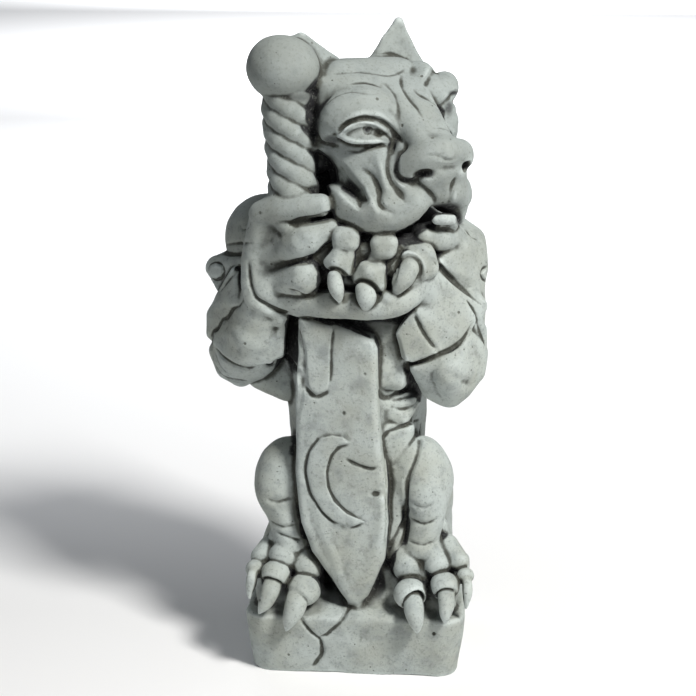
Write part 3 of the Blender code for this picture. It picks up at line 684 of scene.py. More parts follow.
def paw(clay):
    """The paw laid over the guard: its back, then three toes, each with a knuckle, a hood and a claw."""
    clay.hull([(46, -74, 338, 20), (14, -70, 352, 18), (54, -70, 348, 16), (-4, -74, 356, 12)], blend=4)
    web = clay.seen((345, 246, -80, 11), (385, 250, -82, 12), (418, 256, -78, 13), (345, 284, -78, 9),
        (398, 286, -76, 10))
    clay.hull(web, blend=4)
    clay.hull(clay.seen((342, 236, -92, 9.5), (351, 236, -92, 9), (342, 242, -93, 8.5), (350, 242, -93, 9)),
        blend=1)
    clay.limb(clay.seen((346, 240, -88, 9), (338, 264, -91, 8)), blend=2)
    joint = clay.seen((347, 254, -93, 7.5), (331, 262, -94, 7), (340, 254, -94, 8), (346, 270, -96, 7),
        (337, 262, -97, 8))
    clay.hull(joint, blend=1)
    claw = [(334.5, 277, -103, 6.6), (336, 286, -107, 7.8), (338, 294, -107, 6.2), (340, 303, -104, 1.5)]
    clay.limb(clay.seen(*claw), blend=0.4, steps=4)
    clay.hull(clay.seen((380, 243, -94, 9.5), (388, 243, -94, 9.5), (381, 250, -95, 9), (388, 250, -95, 9)),
        blend=1)
    clay.limb(clay.seen((384, 246, -90, 9), (371, 272, -93, 9)), blend=2)
    joint = clay.seen((366, 269, -97, 8), (378, 269, -97, 8), (360, 277, -97, 7.5), (379, 284, -97, 7),
        (370, 272, -100, 9))
    clay.hull(joint, blend=1)
    claw = [(363.5, 290, -105, 8), (366, 296, -108, 9), (366, 303, -107, 6), (365, 309, -104, 1.5)]
    clay.limb(clay.seen(*claw), blend=0.4, steps=4)
    clay.limb(clay.seen((408, 258, -82, 10), (420, 256.5, -84, 13), (426, 268, -82, 10.5)), blend=2)
    clay.hull(clay.seen((412, 253, -86, 9), (424, 255, -84, 11), (427, 266, -84, 10), (414, 262, -86, 11)),
        blend=3)
    clay.limb(clay.seen((399, 263, -92, 4), (405, 256, -95, 4.5), (414, 256, -95, 5), (422, 264, -94, 5),
        (424, 276, -90, 4)), blend=1.5)
    claw = [(409, 268, -97, 9.5), (404, 277, -101, 9.8), (399, 286, -101, 6), (395.5, 294, -98, 1.5)]
    clay.limb(clay.seen(*claw), blend=0.4, steps=4)
    clay.blob((388, 298.5, -98), (9, 8, 7.5), blend=1)


def eye(clay):
    """The eye that looks at the viewer, between its lids."""
    clay.egg((-45, -56, 1), (24, 10, 10), (0, 8, 0), blend=5, cut=True)
    edge = [(331, 131, -22, 4), (338, 125, -32, 5), (346, 118.5, -40, 5), (356, 114.5, -46, 5),
        (366, 113, -49, 5), (378, 115, -51, 5)]
    clay.limb(clay.seen(*edge, (388, 122, -52, 4.5), (397, 132, -53, 4)), blend=7)
    clay.blob((397, 141, -50), (6, 7, 6), blend=3)
    clay.blob((402, 147, -56), (8, 8, 9), blend=5)
    clay.egg((-44, -36.5, 3), (21, 13, 13), blend=2)
    clay.blob((385, 136, -46), (7, 6, 6), blend=3)
    upper = [(337, 134, -35, 2), (345, 129.5, -42, 2.6), (354, 125.5, -47, 3), (366, 123, -50, 3.2),
        (377, 125.5, -51, 3)]
    clay.limb(clay.seen(*upper, (387, 132, -51, 2.6), (394, 141, -50, 2)), blend=1.5)
    lower = [(338, 134, -35, 2), (347, 138.5, -41, 2.8), (359, 140.5, -46, 3.0), (371, 140.5, -49, 3.0),
        (383, 141, -50, 2.6)]
    clay.limb(clay.seen(*lower, (392, 143, -50, 2)), blend=4)


def muzzle(clay):
    """Bridge, nose, lips and jaw."""
    bridge = [(-10, -34, 24, 13), (14, -36, 26, 13), (-6, -58, 4, 13), (14, -60, 4, 13), (-2, -78, -16, 12),
        (14, -80, -15, 12)]
    clay.hull(bridge, blend=7)
    across = [(409, 165, -66, 14.5), (424, 157, -78, 14), (441, 152, -85, 13.5), (457, 153, -84, 13)]
    clay.limb(clay.seen(*across), blend=4)
    clay.blob((459, 156, -82), (13, 13, 14), blend=3)
    clay.hull(clay.seen((430, 172, -82, 9), (455, 170, -86, 9), (440, 160, -80, 10)), blend=5)
    lip = clay.seen((428, 180, -78, 9), (456, 178, -82, 9), (436, 197, -74, 7), (458, 197, -74, 8),
        (420, 192, -66, 12))
    clay.hull([*lip, (10, -60, -50, 16)], blend=5)
    near = [(-10, -68, -60, 15), (-18, -61, -66, 18), (-32, -47, -70, 22), (-46, -26, -64, 22)]
    clay.limb(near, blend=4)
    far = [(22, -78, -52, 12), (34, -66, -58, 15), (42, -50, -60, 20), (44, -24, -50, 20)]
    clay.limb(far, blend=5)
    clay.limb(clay.seen((458, 176, -78, 7), (460, 190, -76, 7), (461, 206, -70, 6.5), (459, 219, -64, 5)),
        blend=5)
    clay.hull(clay.seen((420, 231, -50, 9), (436, 229, -62, 8), (452, 231, -56, 8), (438, 238, -40, 14)),
        blend=3)
    clay.limb(clay.seen((452, 237, -54, 12), (440, 239, -62, 12), (426, 237, -62, 11)), blend=3)
    clay.blob((425, 175, -92), (10, 12, 5.5), (0, 8, 0), blend=2, cut=True)
    clay.blob((466, 166, -92), (5, 7, 5), blend=2, cut=True)
    clay.limb(clay.seen((437, 210, -93, 5), (440, 208.5, -84, 5.5), (449, 208, -84, 6.5),
        (458, 216, -78, 6)), blend=3, cut=True)
    clay.hull(clay.seen((441, 223, -64, 7), (451, 224, -64, 7), (441, 221, -68, 6), (450, 221, -68, 6)),
        blend=1)
    clay.limb(clay.seen((437, 219.5, -74, 5), (444, 219, -77, 5.4), (451, 219.5, -76, 5.2)), blend=0.8)


def far_side(clay):
    """The brow, eye and temple beyond the bridge."""
    clay.hull(clay.seen((408, 92, -26, 13), (424, 88, -30, 13), (436, 98, -36, 13), (444, 112, -40, 9),
        (447, 124, -42, 7)), blend=6)
    clay.limb(clay.seen((408, 80, -8, 13), (420, 76, -16, 13.5), (424, 82, -26, 13)), blend=4)
    clay.limb([*clay.seen((432, 94, -36, 12), (441, 90, -31, 14), (444, 85.5, -22, 14)), (60, -12, 26, 10),
        (60, 0, 10, 8)], blend=3)
    clay.egg((46, -38, 3), (11, 14, 13), (0, 0, -30), blend=2)
    clay.limb([(36, -48, 8, 2), (43, -47, 14, 3.5), (51, -39, 15, 3.5), (57, -29, 11, 3.5), (59, -22, 3, 2)],
        blend=4)
    clay.limb([(37, -49, 2, 2), (44, -48, -5, 4), (52, -39, -7, 4), (58, -29, -3, 4), (59, -22, 2, 2)],
        blend=5)
    clay.hull([(56, -10, 18, 10), (58, -14, -8, 10), (44, -36, -16, 12), (50, 4, -20, 12), (40, 10, 20, 20)],
        blend=6)


def skull(clay):
    """The round of the head, crown, forehead, brow, temple and cheeks."""
    clay.egg((-4, 8, 6), (64, 54, 50), blend=1)
    crown = [(-44, 0, 44, 14), (14, -8, 44, 14), (-34, 26, 42, 16), (26, 26, 38, 16)]
    clay.hull(crown, blend=10)
    clay.hull([(-58, -4, 36, 12), (-60, -8, 10, 11), (-60, -6, -16, 11), (-48, 10, 44, 12),
        (-48, 10, 0, 14)], blend=8)
    front = [(332, 118, -12, 13), (346, 107, -22, 14), (367, 103, -30, 15), (388, 110, -34, 13),
        (404, 96, -24, 15)]
    clay.hull(clay.seen(*front, (344, 80, 2, 14), (372, 78, 0, 14), (402, 78, -4, 14)), blend=7)
    brow = [(329, 132, -16, 9), (333, 119, -24, 12), (346, 108.5, -31, 13), (366, 105, -37, 13),
        (386, 111, -41, 12)]
    clay.limb(clay.seen(*brow, (398, 128, -46, 8)), blend=10)
    temple = clay.seen((330, 100, 0, 14), (350, 92, -14, 14), (375, 90, -14, 14), (400, 92, -18, 14),
        (330, 128, -6, 10))
    clay.hull([*temple, (-20, 20, 20, 20)], blend=8)
    cheek = [(-46, -10, -12, 21), (-40, -16, -48, 24), (-26, -38, -26, 20), (-14, -56, -46, 18),
        (-34, -36, -60, 20)]
    clay.hull(cheek, blend=6)
    clay.hull([(44, -10, -12, 18), (40, -16, -48, 22), (28, -44, -26, 20), (24, -58, -46, 18)], blend=6)


def behind_the_grip(clay):
    """The stone between the grip and the cheek, drawn in the body's frame."""
    clay.hull(clay.seen((318, 150, -38, 9), (322, 192, -38, 9), (336, 176, -34, 10), (334, 206, -40, 9)),
        blend=3)
    clay.hull(clay.seen((316, 92, -50, 9), (308, 104, -56, 8), (316, 128, -44, 9), (312, 160, -40, 10)),
        blend=4)


def ears(clay):
    """Two pointed ears; the near one is a flap beside the pommel."""
    clay.hull([(9, 20, 52, 6), (52, 16, 46, 6), (38, 28, 87, 2), *clay.seen((385, 38, 26, 3))], blend=4)
    clay.hull([(9, 22, 50, 8), (36, 38, 44, 8), (38, 28, 87, 2.5)], blend=4)
    clay.hull([(52, 18, 44, 8), (36, 38, 44, 8), (38, 28, 87, 2.5)], blend=4)
    flap = clay.seen((301, 38, 20, 5), (289, 43, 24, 5), (333, 62, 14, 6), (322, 78, 6, 7),
        (308, 66, 10, 6))
    clay.hull([*flap, (-46, 30, 44, 8)], blend=3)


def head(clay):
    """The dog's head, in its own frame: x to the far side, -y out along the muzzle, the eyes at z = 0."""
    skull(clay.within(HEAD))
    behind_the_grip(clay)
    for part in (muzzle, far_side, eye, ears):
        part(clay.within(HEAD))


def ring(across, down, radius):
    """Picture points round a circle."""
    turns = np.linspace(0, math.tau, 9)
    return [(across + radius * math.cos(turn), down + radius * math.sin(turn)) for turn in turns]


# Lines: width and height in millimetres (negative is cut in), what it is, and its picture points
FACE_LINES = (
    (1.1, -3.0, "edge of the upper lid",
        [(343, 133.5), (350, 128.5), (358, 125.5), (366, 125), (376, 128), (385, 134), (392, 141)]),
    (0.9, -1.6, "edge of the lower lid", [(345, 135.5), (355, 138), (366, 139), (378, 138.5), (390, 142)]),
    (0.9, -1.4, "iris", ring(367.6, 130, 4.2)),
    (1.8, -2.6, "pupil", [(366.6, 129.6), (367.6, 129.6), (368.6, 129.6)]),
    (1.3, -1.0, "cap seam",
        [(334, 74), (351, 73), (361, 72.5), (374, 74), (389, 76), (401, 72), (408, 64)]),
    (1.6, -1.4, "upper brow wrinkle", [(349, 84.5), (360, 82.7), (371, 84), (382, 88)]),
    (1.7, -1.8, "lower brow wrinkle",
        [(326, 105), (333, 98), (342, 93.6), (352, 91.7), (364, 93), (377, 94.5)]),
    (2.0, -1.6, "inner frown line", [(386.7, 85), (394.4, 93.6), (398, 104), (399.5, 117)]),
    (2.0, -2.2, "middle frown line", [(401, 76), (402, 86), (408.4, 97.4), (417, 108), (422.4, 117)]),
    (2.0, -2.4, "outer frown line", [(413.5, 89.7), (420, 95), (430, 100), (438, 106)]),
    (2.6, -5.0, "notch in the far brow", [(435.5, 68), (430, 77), (425.6, 84.6)]),
    (2.2, -3.5, "under the far brow", [(459, 92), (453, 94), (448, 99.5), (440, 106)]),
    (1.2, -1.2, "ear root", [(374, 54), (389, 53), (402, 57), (412, 62)]),
    (1.5, -5.5, "under the near brow", [(327, 137), (334, 135.5), (341, 129), (348, 122.5), (357, 118.8),
        (366, 117.5), (380, 120), (390, 127), (397, 136), (401, 142)]),
    (2.4, -4.5, "fold at the temple", [(315, 132), (321, 142), (328, 145), (337, 146)]),
    (1.5, -2.0, "bag under the eye", [(348, 151), (359, 152), (369, 147), (379, 145), (388, 147)]),
    (2.8, -4.0, "fold by the nose",
        [(397, 138), (394, 143), (390, 151), (388, 161), (388, 173), (391, 182), (397, 189), (406, 203)]),
    (2.4, -8.0, "round the nostril", [(405, 149.5), (398, 155), (395, 165), (396, 173), (401, 179),
        (410, 182), (417, 178), (421, 172)]),
    (2.4, -4.0, "cheek crease",
        [(364, 169), (371, 175), (376.5, 184), (379, 192), (379, 202), (383, 208), (393, 213)]),
    (3.4, 2.6, "fold of the cheek", [(376, 156), (383, 174), (387, 188), (389, 199)]),
    (3.0, 1.8, "fold of the jowl", [(355, 172), (365, 186), (371, 202), (380, 216)]),
    (1.5, -1.6, "across the nose", [(424, 157), (435, 155), (442, 158.5), (450.5, 160.5), (459, 156)]),
    (1.6, -1.2, "across the bridge", [(433, 128), (444, 128.6), (452, 132)]),
    (2.2, -2.4, "split of the lip", [(456, 176), (452, 186), (449, 202)]),
    (2.0, -3.0, "edge of the upper lip", [(418, 182), (425, 188), (434, 197), (436, 205)]),
    (2.6, -5.0, "near nostril", [(414, 175), (420, 173), (427, 171), (433, 173)]),
    (2.8, -7.0, "far nostril", [(464, 164), (467, 166)]),
)

SWORD_LINES = (
    (2.6, -7.5, "gap beside the tongue plate", [(297, 322), (299, 336), (302, 352), (303, 370), (305, 386),
        (311, 394), (318, 396.5), (326, 393)]),
    (1.3, -2.6, "line in the blade", [(334, 326), (332.5, 336), (331, 352), (331, 366), (330.5, 380)]),
    (2.0, -3.0, "right edge of the blade", [(383, 486), (386.5, 500), (387, 520), (386, 538), (383, 552)]),
    (6.0, -1.6, "slant of the left face", [(304, 404), (303, 440), (305, 480), (311, 520), (322, 552)]),
    (1.5, -2.0, "pit", [(343, 413), (344, 413), (345, 413)]),
    (1.2, -1.6, "small pit", [(364, 374), (365, 374), (366, 374)]),
    (1.2, -2.0, "short line", [(323, 321), (318.5, 331)]),
    (1.2, -2.6, "outside of the moon", [(318, 439), (311, 448), (306.5, 460), (306, 473), (309, 490),
        (316, 503), (326, 516), (340, 525), (354, 527), (364, 521)]),
    (1.3, -1.5, "inside of the moon",
        [(348, 445), (338, 449), (331, 457), (327, 471), (328, 485), (334, 498), (344, 509), (356, 517)]),
    (1.6, -4.5, "upper nick", [(347, 459.5), (355, 464), (363, 467), (371, 469), (378, 467.5)]),
    (2.4, -6.0, "lower nick", [(372, 494), (377, 494), (382, 494)]),
    (1.6, -3.0, "notch in the left edge", [(290, 420), (297, 418)]),
    (4.5, 1.8, "left ridge of the point", [(318, 520), (330, 548), (340, 577), (349, 602)]),
    (4.0, 1.2, "right ridge of the point", [(381, 500), (380, 530), (371, 565), (360, 592)]),
)

BODY_LINES = (
    (2.4, -4.0, "foot of the chest plate", [(377, 391), (386, 398), (399, 392.5), (411, 384)]),
    (2.2, -3.0, "side of the chest plate", [(398, 337), (403, 360), (412, 382)]),
    (2.0, -3.0, "belly lobe", [(390, 401), (400, 399), (415, 394)]),
    (2.0, -3.0, "under the belly lobe", [(392, 406), (402, 409), (415, 405), (420, 396)]),
    (1.8, -3.5, "edge of the skirt", [(382, 438), (390, 431), (405, 425.5), (418, 420)]),
    (2.2, -4.0, "side of the loin cloth",
        [(421, 425), (417, 454), (407, 482), (406, 514), (397, 534), (385, 554)]),
    (2.0, -3.0, "loin cloth by the blade", [(383, 440), (387, 486), (388, 530)]),
    (7.0, 3.5, "middle of the loin cloth", [(403, 432), (399, 480), (396, 520)]),
    (2.2, -4.0, "strip beside the blade", [(284, 351), (296, 368), (302, 384), (298, 416)]),
)

ARM_LINES = (
    (1.4, -3.5, "crack", [(243, 301), (239, 306), (233, 309), (228, 317), (222, 320), (218, 329), (213, 331),
        (210, 338)]),
    (2.0, -5.0, "foot of the left plate",
        [(213, 346), (224, 358), (235, 365), (246, 368.5), (256, 368), (270, 364), (282, 357)]),
    (2.0, -3.5, "under plate", [(211, 348), (213, 362), (221, 375), (233, 380), (248, 381)]),
    (3.6, 3.0, "lip of the left plate",
        [(243, 262), (243, 283), (249, 300), (262, 309), (276, 315), (290, 318)]),
    (2.0, -4.5, "rim of the left plate",
        [(249, 262), (250, 282), (256, 297), (266, 304), (278, 310), (291, 313)]),
    (1.8, -4.0, "foot of the left shoulder", [(226, 245), (238, 243.5), (251, 243)]),
    (1.6, -3.5, "foot of the lame", [(220, 291), (231, 277), (242, 264)]),
    (1.2, -2.6, "ring round the left rivet", ring(216, 271, 9)),
    (1.2, -1.6, "mark on the shoulder", [(240, 224), (242, 229), (247, 229), (251, 222), (250, 219)]),
    (2.0, -5.0, "foot of the right shoulder", [(433, 260), (441, 268), (452, 280), (466, 292), (484, 306)]),
    (1.7, -4.5, "between the bracers", [(414, 311), (418, 322), (427, 338), (440, 353)]),
    (1.7, -4.5, "foot of the bracer", [(440, 353), (452, 349), (464, 338), (474, 321)]),
    (1.6, -4.0, "foot of the inner bracer", [(404, 363), (420, 361.5), (440, 353)]),
    (1.4, -2.0, "side strip", [(475, 313), (480, 332), (487, 350)]),
    (1.6, -1.6, "strip by the shoulder", [(467, 300), (474, 312), (478, 322)]),
    (4.5, -2.5, "dent in the elbow", [(450, 372), (458, 380), (471, 384)]),
    (1.2, -2.6, "ring round the right rivet", ring(489, 274, 8)),
    (1.3, -1.8, "nick in the right shoulder", [(466, 231), (472, 237), (478, 240)]),
)

HAND_LINES = (
    (2.0, -3.0, "first to second finger",
        [(291, 223), (298, 219.5), (306, 217.5), (320, 215.5), (333, 211)]),
    (2.0, -2.5, "second to third finger", [(288, 263), (300, 259.5), (314, 254), (326, 245)]),
    (1.8, -3.5, "third to fourth finger", [(286, 289), (296, 291.5), (304, 295), (313, 296)]),
    (1.3, -3.4, "first cuff", [(325, 272), (333, 268.5), (340, 270.5), (347, 277), (352, 282)]),
    (1.3, -3.4, "second cuff", [(354, 285), (361, 280.5), (370, 283), (377, 290), (381, 296)]),
    (1.3, -3.4, "third cuff", [(394, 276), (398, 262), (405, 256.5), (413, 256.5), (420, 263), (422, 275)]),
    (1.6, -2.0, "second to third claw", [(401, 250), (398, 268), (392, 288)]),
)

LEG_LINES = (
    (2.4, -2.0, "right knee wrinkle", [(411, 503), (422, 508), (435, 504)]),
    (1.8, -2.2, "foot of the right knee", [(410, 518), (424, 524), (439, 518)]),
    (2.4, -1.8, "left knee wrinkle", [(264, 497), (276, 502), (292, 498)]),
    (1.8, -2.2, "foot of the left knee", [(268, 520), (283, 527), (297, 524)]),
    (1.5, -2.5, "right ankle ring", [(409, 541), (422, 545), (434, 541)]),
    (1.5, -2.5, "left ankle ring", [(276, 532), (288, 537), (300, 540)]),
)

PLINTH_LINES = (
    (1.7, -5.5, "crack from the point",
        [(350, 607), (347, 611), (344, 617), (340, 623), (331, 631), (326, 635), (319, 637)]),
    (1.6, -5.0, "crack from the claw", [(300, 617), (304, 624), (311, 632), (317, 637), (321, 641)]),
    (1.8, -5.5, "crack to the foot", [(320, 639), (321.5, 646), (321.5, 654), (317, 661), (313, 666)]),
    (1.6, -4.5, "pit", [(433, 634), (434, 634), (435, 634)]),
)


# Painted shade in the hollows, mouth, nostrils and under the guard, and a few stains on the blade, the
# pommel and the pupil: picture point, half width and height, furthest y back, strength
SHADE_AND_STAIN_TABLE = (
    ("cheek", 327, 171, 8, 18, 10, 1.0),
    ("fold of the cheek", 352, 189, 7, 7, 10, 0.6),
    ("mouth", 447, 207, 12, 4, 30, 1.0),
    ("corner of the mouth", 459, 218, 3, 7, 30, 0.9),
    ("near nostril", 425, 174, 9, 4, 10, 1.0),
    ("far nostril", 466, 166, 3, 4, 20, 0.9),
    ("pupil", 367.6, 129.8, 3.2, 3.0, 0, 0.95),
    ("far eye", 449, 108, 4, 6, 20, 0.8),
    ("under the far brow", 454, 93, 5, 2, 20, 0.9),
    ("under the guard", 355, 326, 40, 5, 10, 0.5),
    ("round the nostril", 397, 166, 3, 14, 0, 0.7),
    ("below the nose", 407, 180, 8, 3, 0, 0.8),
    ("outer corner of the eye", 332, 140, 9, 4, 10, 0.75),
    ("inner corner of the eye", 397, 141, 3, 6, 10, 0.6),
    ("beside the brow", 316, 118, 4, 24, 20, 0.8),
    ("under the pommel", 300, 97, 22, 4, 20, 0.5),
    ("blade under the guard", 334, 345, 30, 26, 0, 0.17),
    ("blade", 330, 440, 40, 90, 0, 0.10),
    ("pommel", 277, 72, 36, 36, 10, 0.08),
    ("hollow of the fist", 270, 240, 9, 20, 0, 0.30),
    ("heel of the fist", 284, 274, 14, 5, 0, 0.20),
    ("between thumb and fist", 262, 268, 7, 12, 0, 0.25),
)


def carve(clay, lines):
    """Draws a table of lines on the skin."""
    for width, height, _, points in lines:
        clay.stroke(points, width, height)


def detail(clay):
    """The hollow cheek, the moon, the rivets and the tongue plate on the blade, then every line."""
    cheek = [(318, 154), (332, 160), (343, 168), (352, 180), (361, 189), (366, 200), (360, 206), (351, 198),
        (341, 188), (329, 182)]
    clay.raised([*cheek, (320, 172)], -10.0, soft=6, deep=34)
    moon = [(349, 443), (342, 437.5), (332, 436), (321, 438.4), (310, 452), (305.5, 471), (312, 493),
        (322.5, 511), (337, 525)]
    moon += [(349, 528), (364, 522), (346, 514), (333, 502), (327, 487.5), (326, 471), (330, 455),
        (337, 446)]
    clay.raised(moon, 1.8, soft=0.9)
    clay.raised(ring(216, 271, 7)[:-1], 3.0, soft=1.5, deep=11)
    clay.raised(ring(487, 274, 6)[:-1], 1.5, soft=1.5, deep=9)
    tongue = [(292, 320), (302, 360), (305, 385), (316, 396), (326, 391), (330, 376), (333, 326),
        (312, 318)]
    clay.raised(tongue, 1.3, soft=1.5)
    for lines in (FACE_LINES, SWORD_LINES, BODY_LINES, ARM_LINES, HAND_LINES, LEG_LINES, PLINTH_LINES):
        carve(clay, lines)


def carved():
    """The whole statue as one lump of clay."""
    clay = Clay(*CLAY_BOX, STEP)
    for part in (plinth, sword, feet, legs, body, back, left_arm, right_arm):
        part(clay)
    for low, high in (RIGHT_ARM_BOX, LEFT_ARM_BOX):
        clay.soften(low, high, 2.4)
    for part in (fist, paw, head):
        part(clay)
    clay.soften(*CLAY_BOX, 1.0)
    clay.weather(0.45, 13.0)
    clay.weather(0.16, 4.3)
    detail(clay)
    return clay


def stone_mesh(clay):
    """The skin of the clay as a mesh in metres."""
    points, quads = clay.skin()
    mesh = bpy.data.meshes.new("gargoyle_skin")
    mesh.vertices.add(len(points))
    mesh.vertices.foreach_set("co", (points / 1000).astype(np.float32).ravel())
    mesh.loops.add(quads.size)
    mesh.loops.foreach_set("vertex_index", quads.astype(np.int32).ravel())
    mesh.polygons.add(len(quads))
    mesh.polygons.foreach_set("loop_start", np.arange(0, quads.size, 4, dtype=np.int32))
    mesh.update(calc_edges=True)
    mesh.validate()
    statue = bpy.data.objects.new("gargoyle_skin", mesh)
    bpy.context.scene.collection.objects.link(statue)
    return statue


def box_blur(values, reach):
    """The mean over a cube that reaches this many cells each way."""
    for axis in range(3):
        before = np.repeat(np.take(values, [0], axis), reach + 1, axis)
        after = np.repeat(np.take(values, [-1], axis), reach, axis)
        total = np.cumsum(np.concatenate([before, values, after], axis), axis, dtype=np.float32)
        ahead = np.take(total, range(2 * reach + 1, total.shape[axis]), axis)
        behind = np.take(total, range(0, total.shape[axis] - 2 * reach - 1), axis)
        values = (ahead - behind) / (2 * reach + 1)
    return values


def shade_and_stain_at(places):
    """How dark the painted shade and stains are at some places: a soft spot round each picture point, on the
    side that shows.
    """
    across, down = CAMERA.seen(*places.T)
    dark = np.zeros(len(places))
    for _, u, v, wide, high, most_behind, strength in SHADE_AND_STAIN_TABLE:
        away = np.sqrt(((across - u) / wide) ** 2 + ((down - v) / high) ** 2)
        spot = np.clip(1.5 - away, 0, 1)
        dark = np.maximum(dark, strength * spot * spot * (3 - 2 * spot) * (places[:, 1] < most_behind))
    return dark


# How wide a crease is, and how far out from the skin a hollow is felt, in millimetres
CREASE_WIDTH = 2.6
HOLLOW_REACHES = (4.0, 7.0, 11.0)
DEEP_REACHES = (16.0, 24.0, 34.0)


def shade_by_hollows(clay, statue):
    """Stores how far each point of the skin lies in a crease, a hollow and a deep hollow, and its spots of
    painted shade and stain.
    """
    places = np.empty(len(statue.data.vertices) * 3, np.float32)
    statue.data.vertices.foreach_get("co", places)
    places = places.reshape(-1, 3) * 1000
    solid = np.clip(0.5 - clay.field / STEP, 0, 1).astype(np.float32)
    cells = max(1, round(CREASE_WIDTH / STEP))
    stored = {"crease": clay.at(places, box_blur(box_blur(solid, cells), cells))}
    shifts = np.eye(3) * 2 * STEP
    slopes = np.stack([clay.at(places + shift) - clay.at(places - shift) for shift in shifts], 1)
    normals = slopes / np.maximum(np.linalg.norm(slopes, axis=1, keepdims=True), 1e-6)
    for name, reaches in (("hollow", HOLLOW_REACHES), ("deep", DEEP_REACHES)):
        stored[name] = np.mean([1 - clay.at(places + normals * reach) / reach for reach in reaches], axis=0)
    # Spots of painted shade, with a few stains
    stored["spot_shade_and_stain"] = shade_and_stain_at(places)
    for name, values in stored.items():
        layer = statue.data.attributes.new(name, "FLOAT", "POINT")
        layer.data.foreach_set("value", values.astype(np.float32))


def thin(statue):
    """Fewer triangles, and a smooth look."""
    statue.data.calc_loop_triangles()
    fewer = statue.modifiers.new("Fewer", "DECIMATE")
    fewer.ratio = min(1, MOST_TRIANGLES / len(statue.data.loop_triangles))
    bpy.context.view_layer.update()
    mesh = bpy.data.meshes.new_from_object(statue.evaluated_get(bpy.context.evaluated_depsgraph_get()))
    statue.modifiers.clear()
    statue.data = mesh
    mesh.shade_smooth()


class Value:
    """A number or colour that varies over the stone: the output of a node."""

    def __init__(self, stone, socket):
        self.stone, self.socket = stone, socket

    def maths(self, operation, other, swap=False):
        pair = (other, self) if swap else (self, other)
        return self.stone.node("Math", {"operation": operation}, {0: pair[0], 1: pair[1]})

    def __add__(self, other):
        return self.maths("ADD", other)

    def __radd__(self, other):
        return self.maths("ADD", other, True)

    def __sub__(self, other):
        return self.maths("SUBTRACT", other)

    def __rsub__(self, other):
        return self.maths("SUBTRACT", other, True)

    def __mul__(self, other):
        return self.maths("MULTIPLY", other)

    def __rmul__(self, other):
        return self.maths("MULTIPLY", other, True)

    def step(self, low, high):
        """0 below low, 1 above high and smooth between them, or the other way round."""
        span = {"Value": self, "From Min": min(low, high), "From Max": max(low, high)}
        risen = self.stone.node("MapRange", {"interpolation_type": "SMOOTHSTEP"}, span)
        return risen if low < high else 1.0 - risen


class Stone:
    """The cast stone's material, built as expressions."""

    def __init__(self, name):
        self.material = bpy.data.materials.new(name)
        self.material.use_nodes = True
        self.tree = self.material.node_tree
        self.surface = self.tree.nodes["Principled BSDF"]
        self.place = self.node("TexCoord", {}, {}, "Object")

    def node(self, kind, settings, inputs, output=0):
        made = self.tree.nodes.new("ShaderNode" + kind)
        for name, value in settings.items():
            setattr(made, name, value)
        for name, value in inputs.items():
            self.feed(made.inputs[name], value)
        return Value(self, made.outputs[output])

    def feed(self, socket, value):
        if isinstance(value, Value):
            self.tree.links.new(value.socket, socket)
        else:
            socket.default_value = value

    def noise(self, size, detail=3.0):
        """Cloudy noise with features this many millimetres across, about 0.5."""
        sockets = {"Vector": self.place, "Scale": 1000 / size, "Detail": detail, "Roughness": 0.55}
        return self.node("TexNoise", {"noise_dimensions": "3D"}, sockets)

    def holes(self, size):
        """The distance to the nearest of some scattered points, for the casting's air holes."""
        return self.node("TexVoronoi", {}, {"Vector": self.place, "Scale": 1000 / size, "Randomness": 1.0})

    def stored(self, name):
        """A value that the mesh carries at each point."""
        return self.node("Attribute", {"attribute_name": name, "attribute_type": "GEOMETRY"}, {}, "Fac")

    def mix(self, share, one, other):
        """Colour one where share is 0 and the other where it is 1."""
        return self.node("Mix", {"data_type": "RGBA"}, {0: share, 6: one, 7: other}, 2)


def colour(red, green, blue):
    """A picture colour, each part 0 to 255, as the shader takes it."""
    parts = (part / 255 for part in (red, green, blue))
    return (*(((part + 0.055) / 1.055) ** 2.4 if part > 0.04 else part / 12.92 for part in parts), 1)


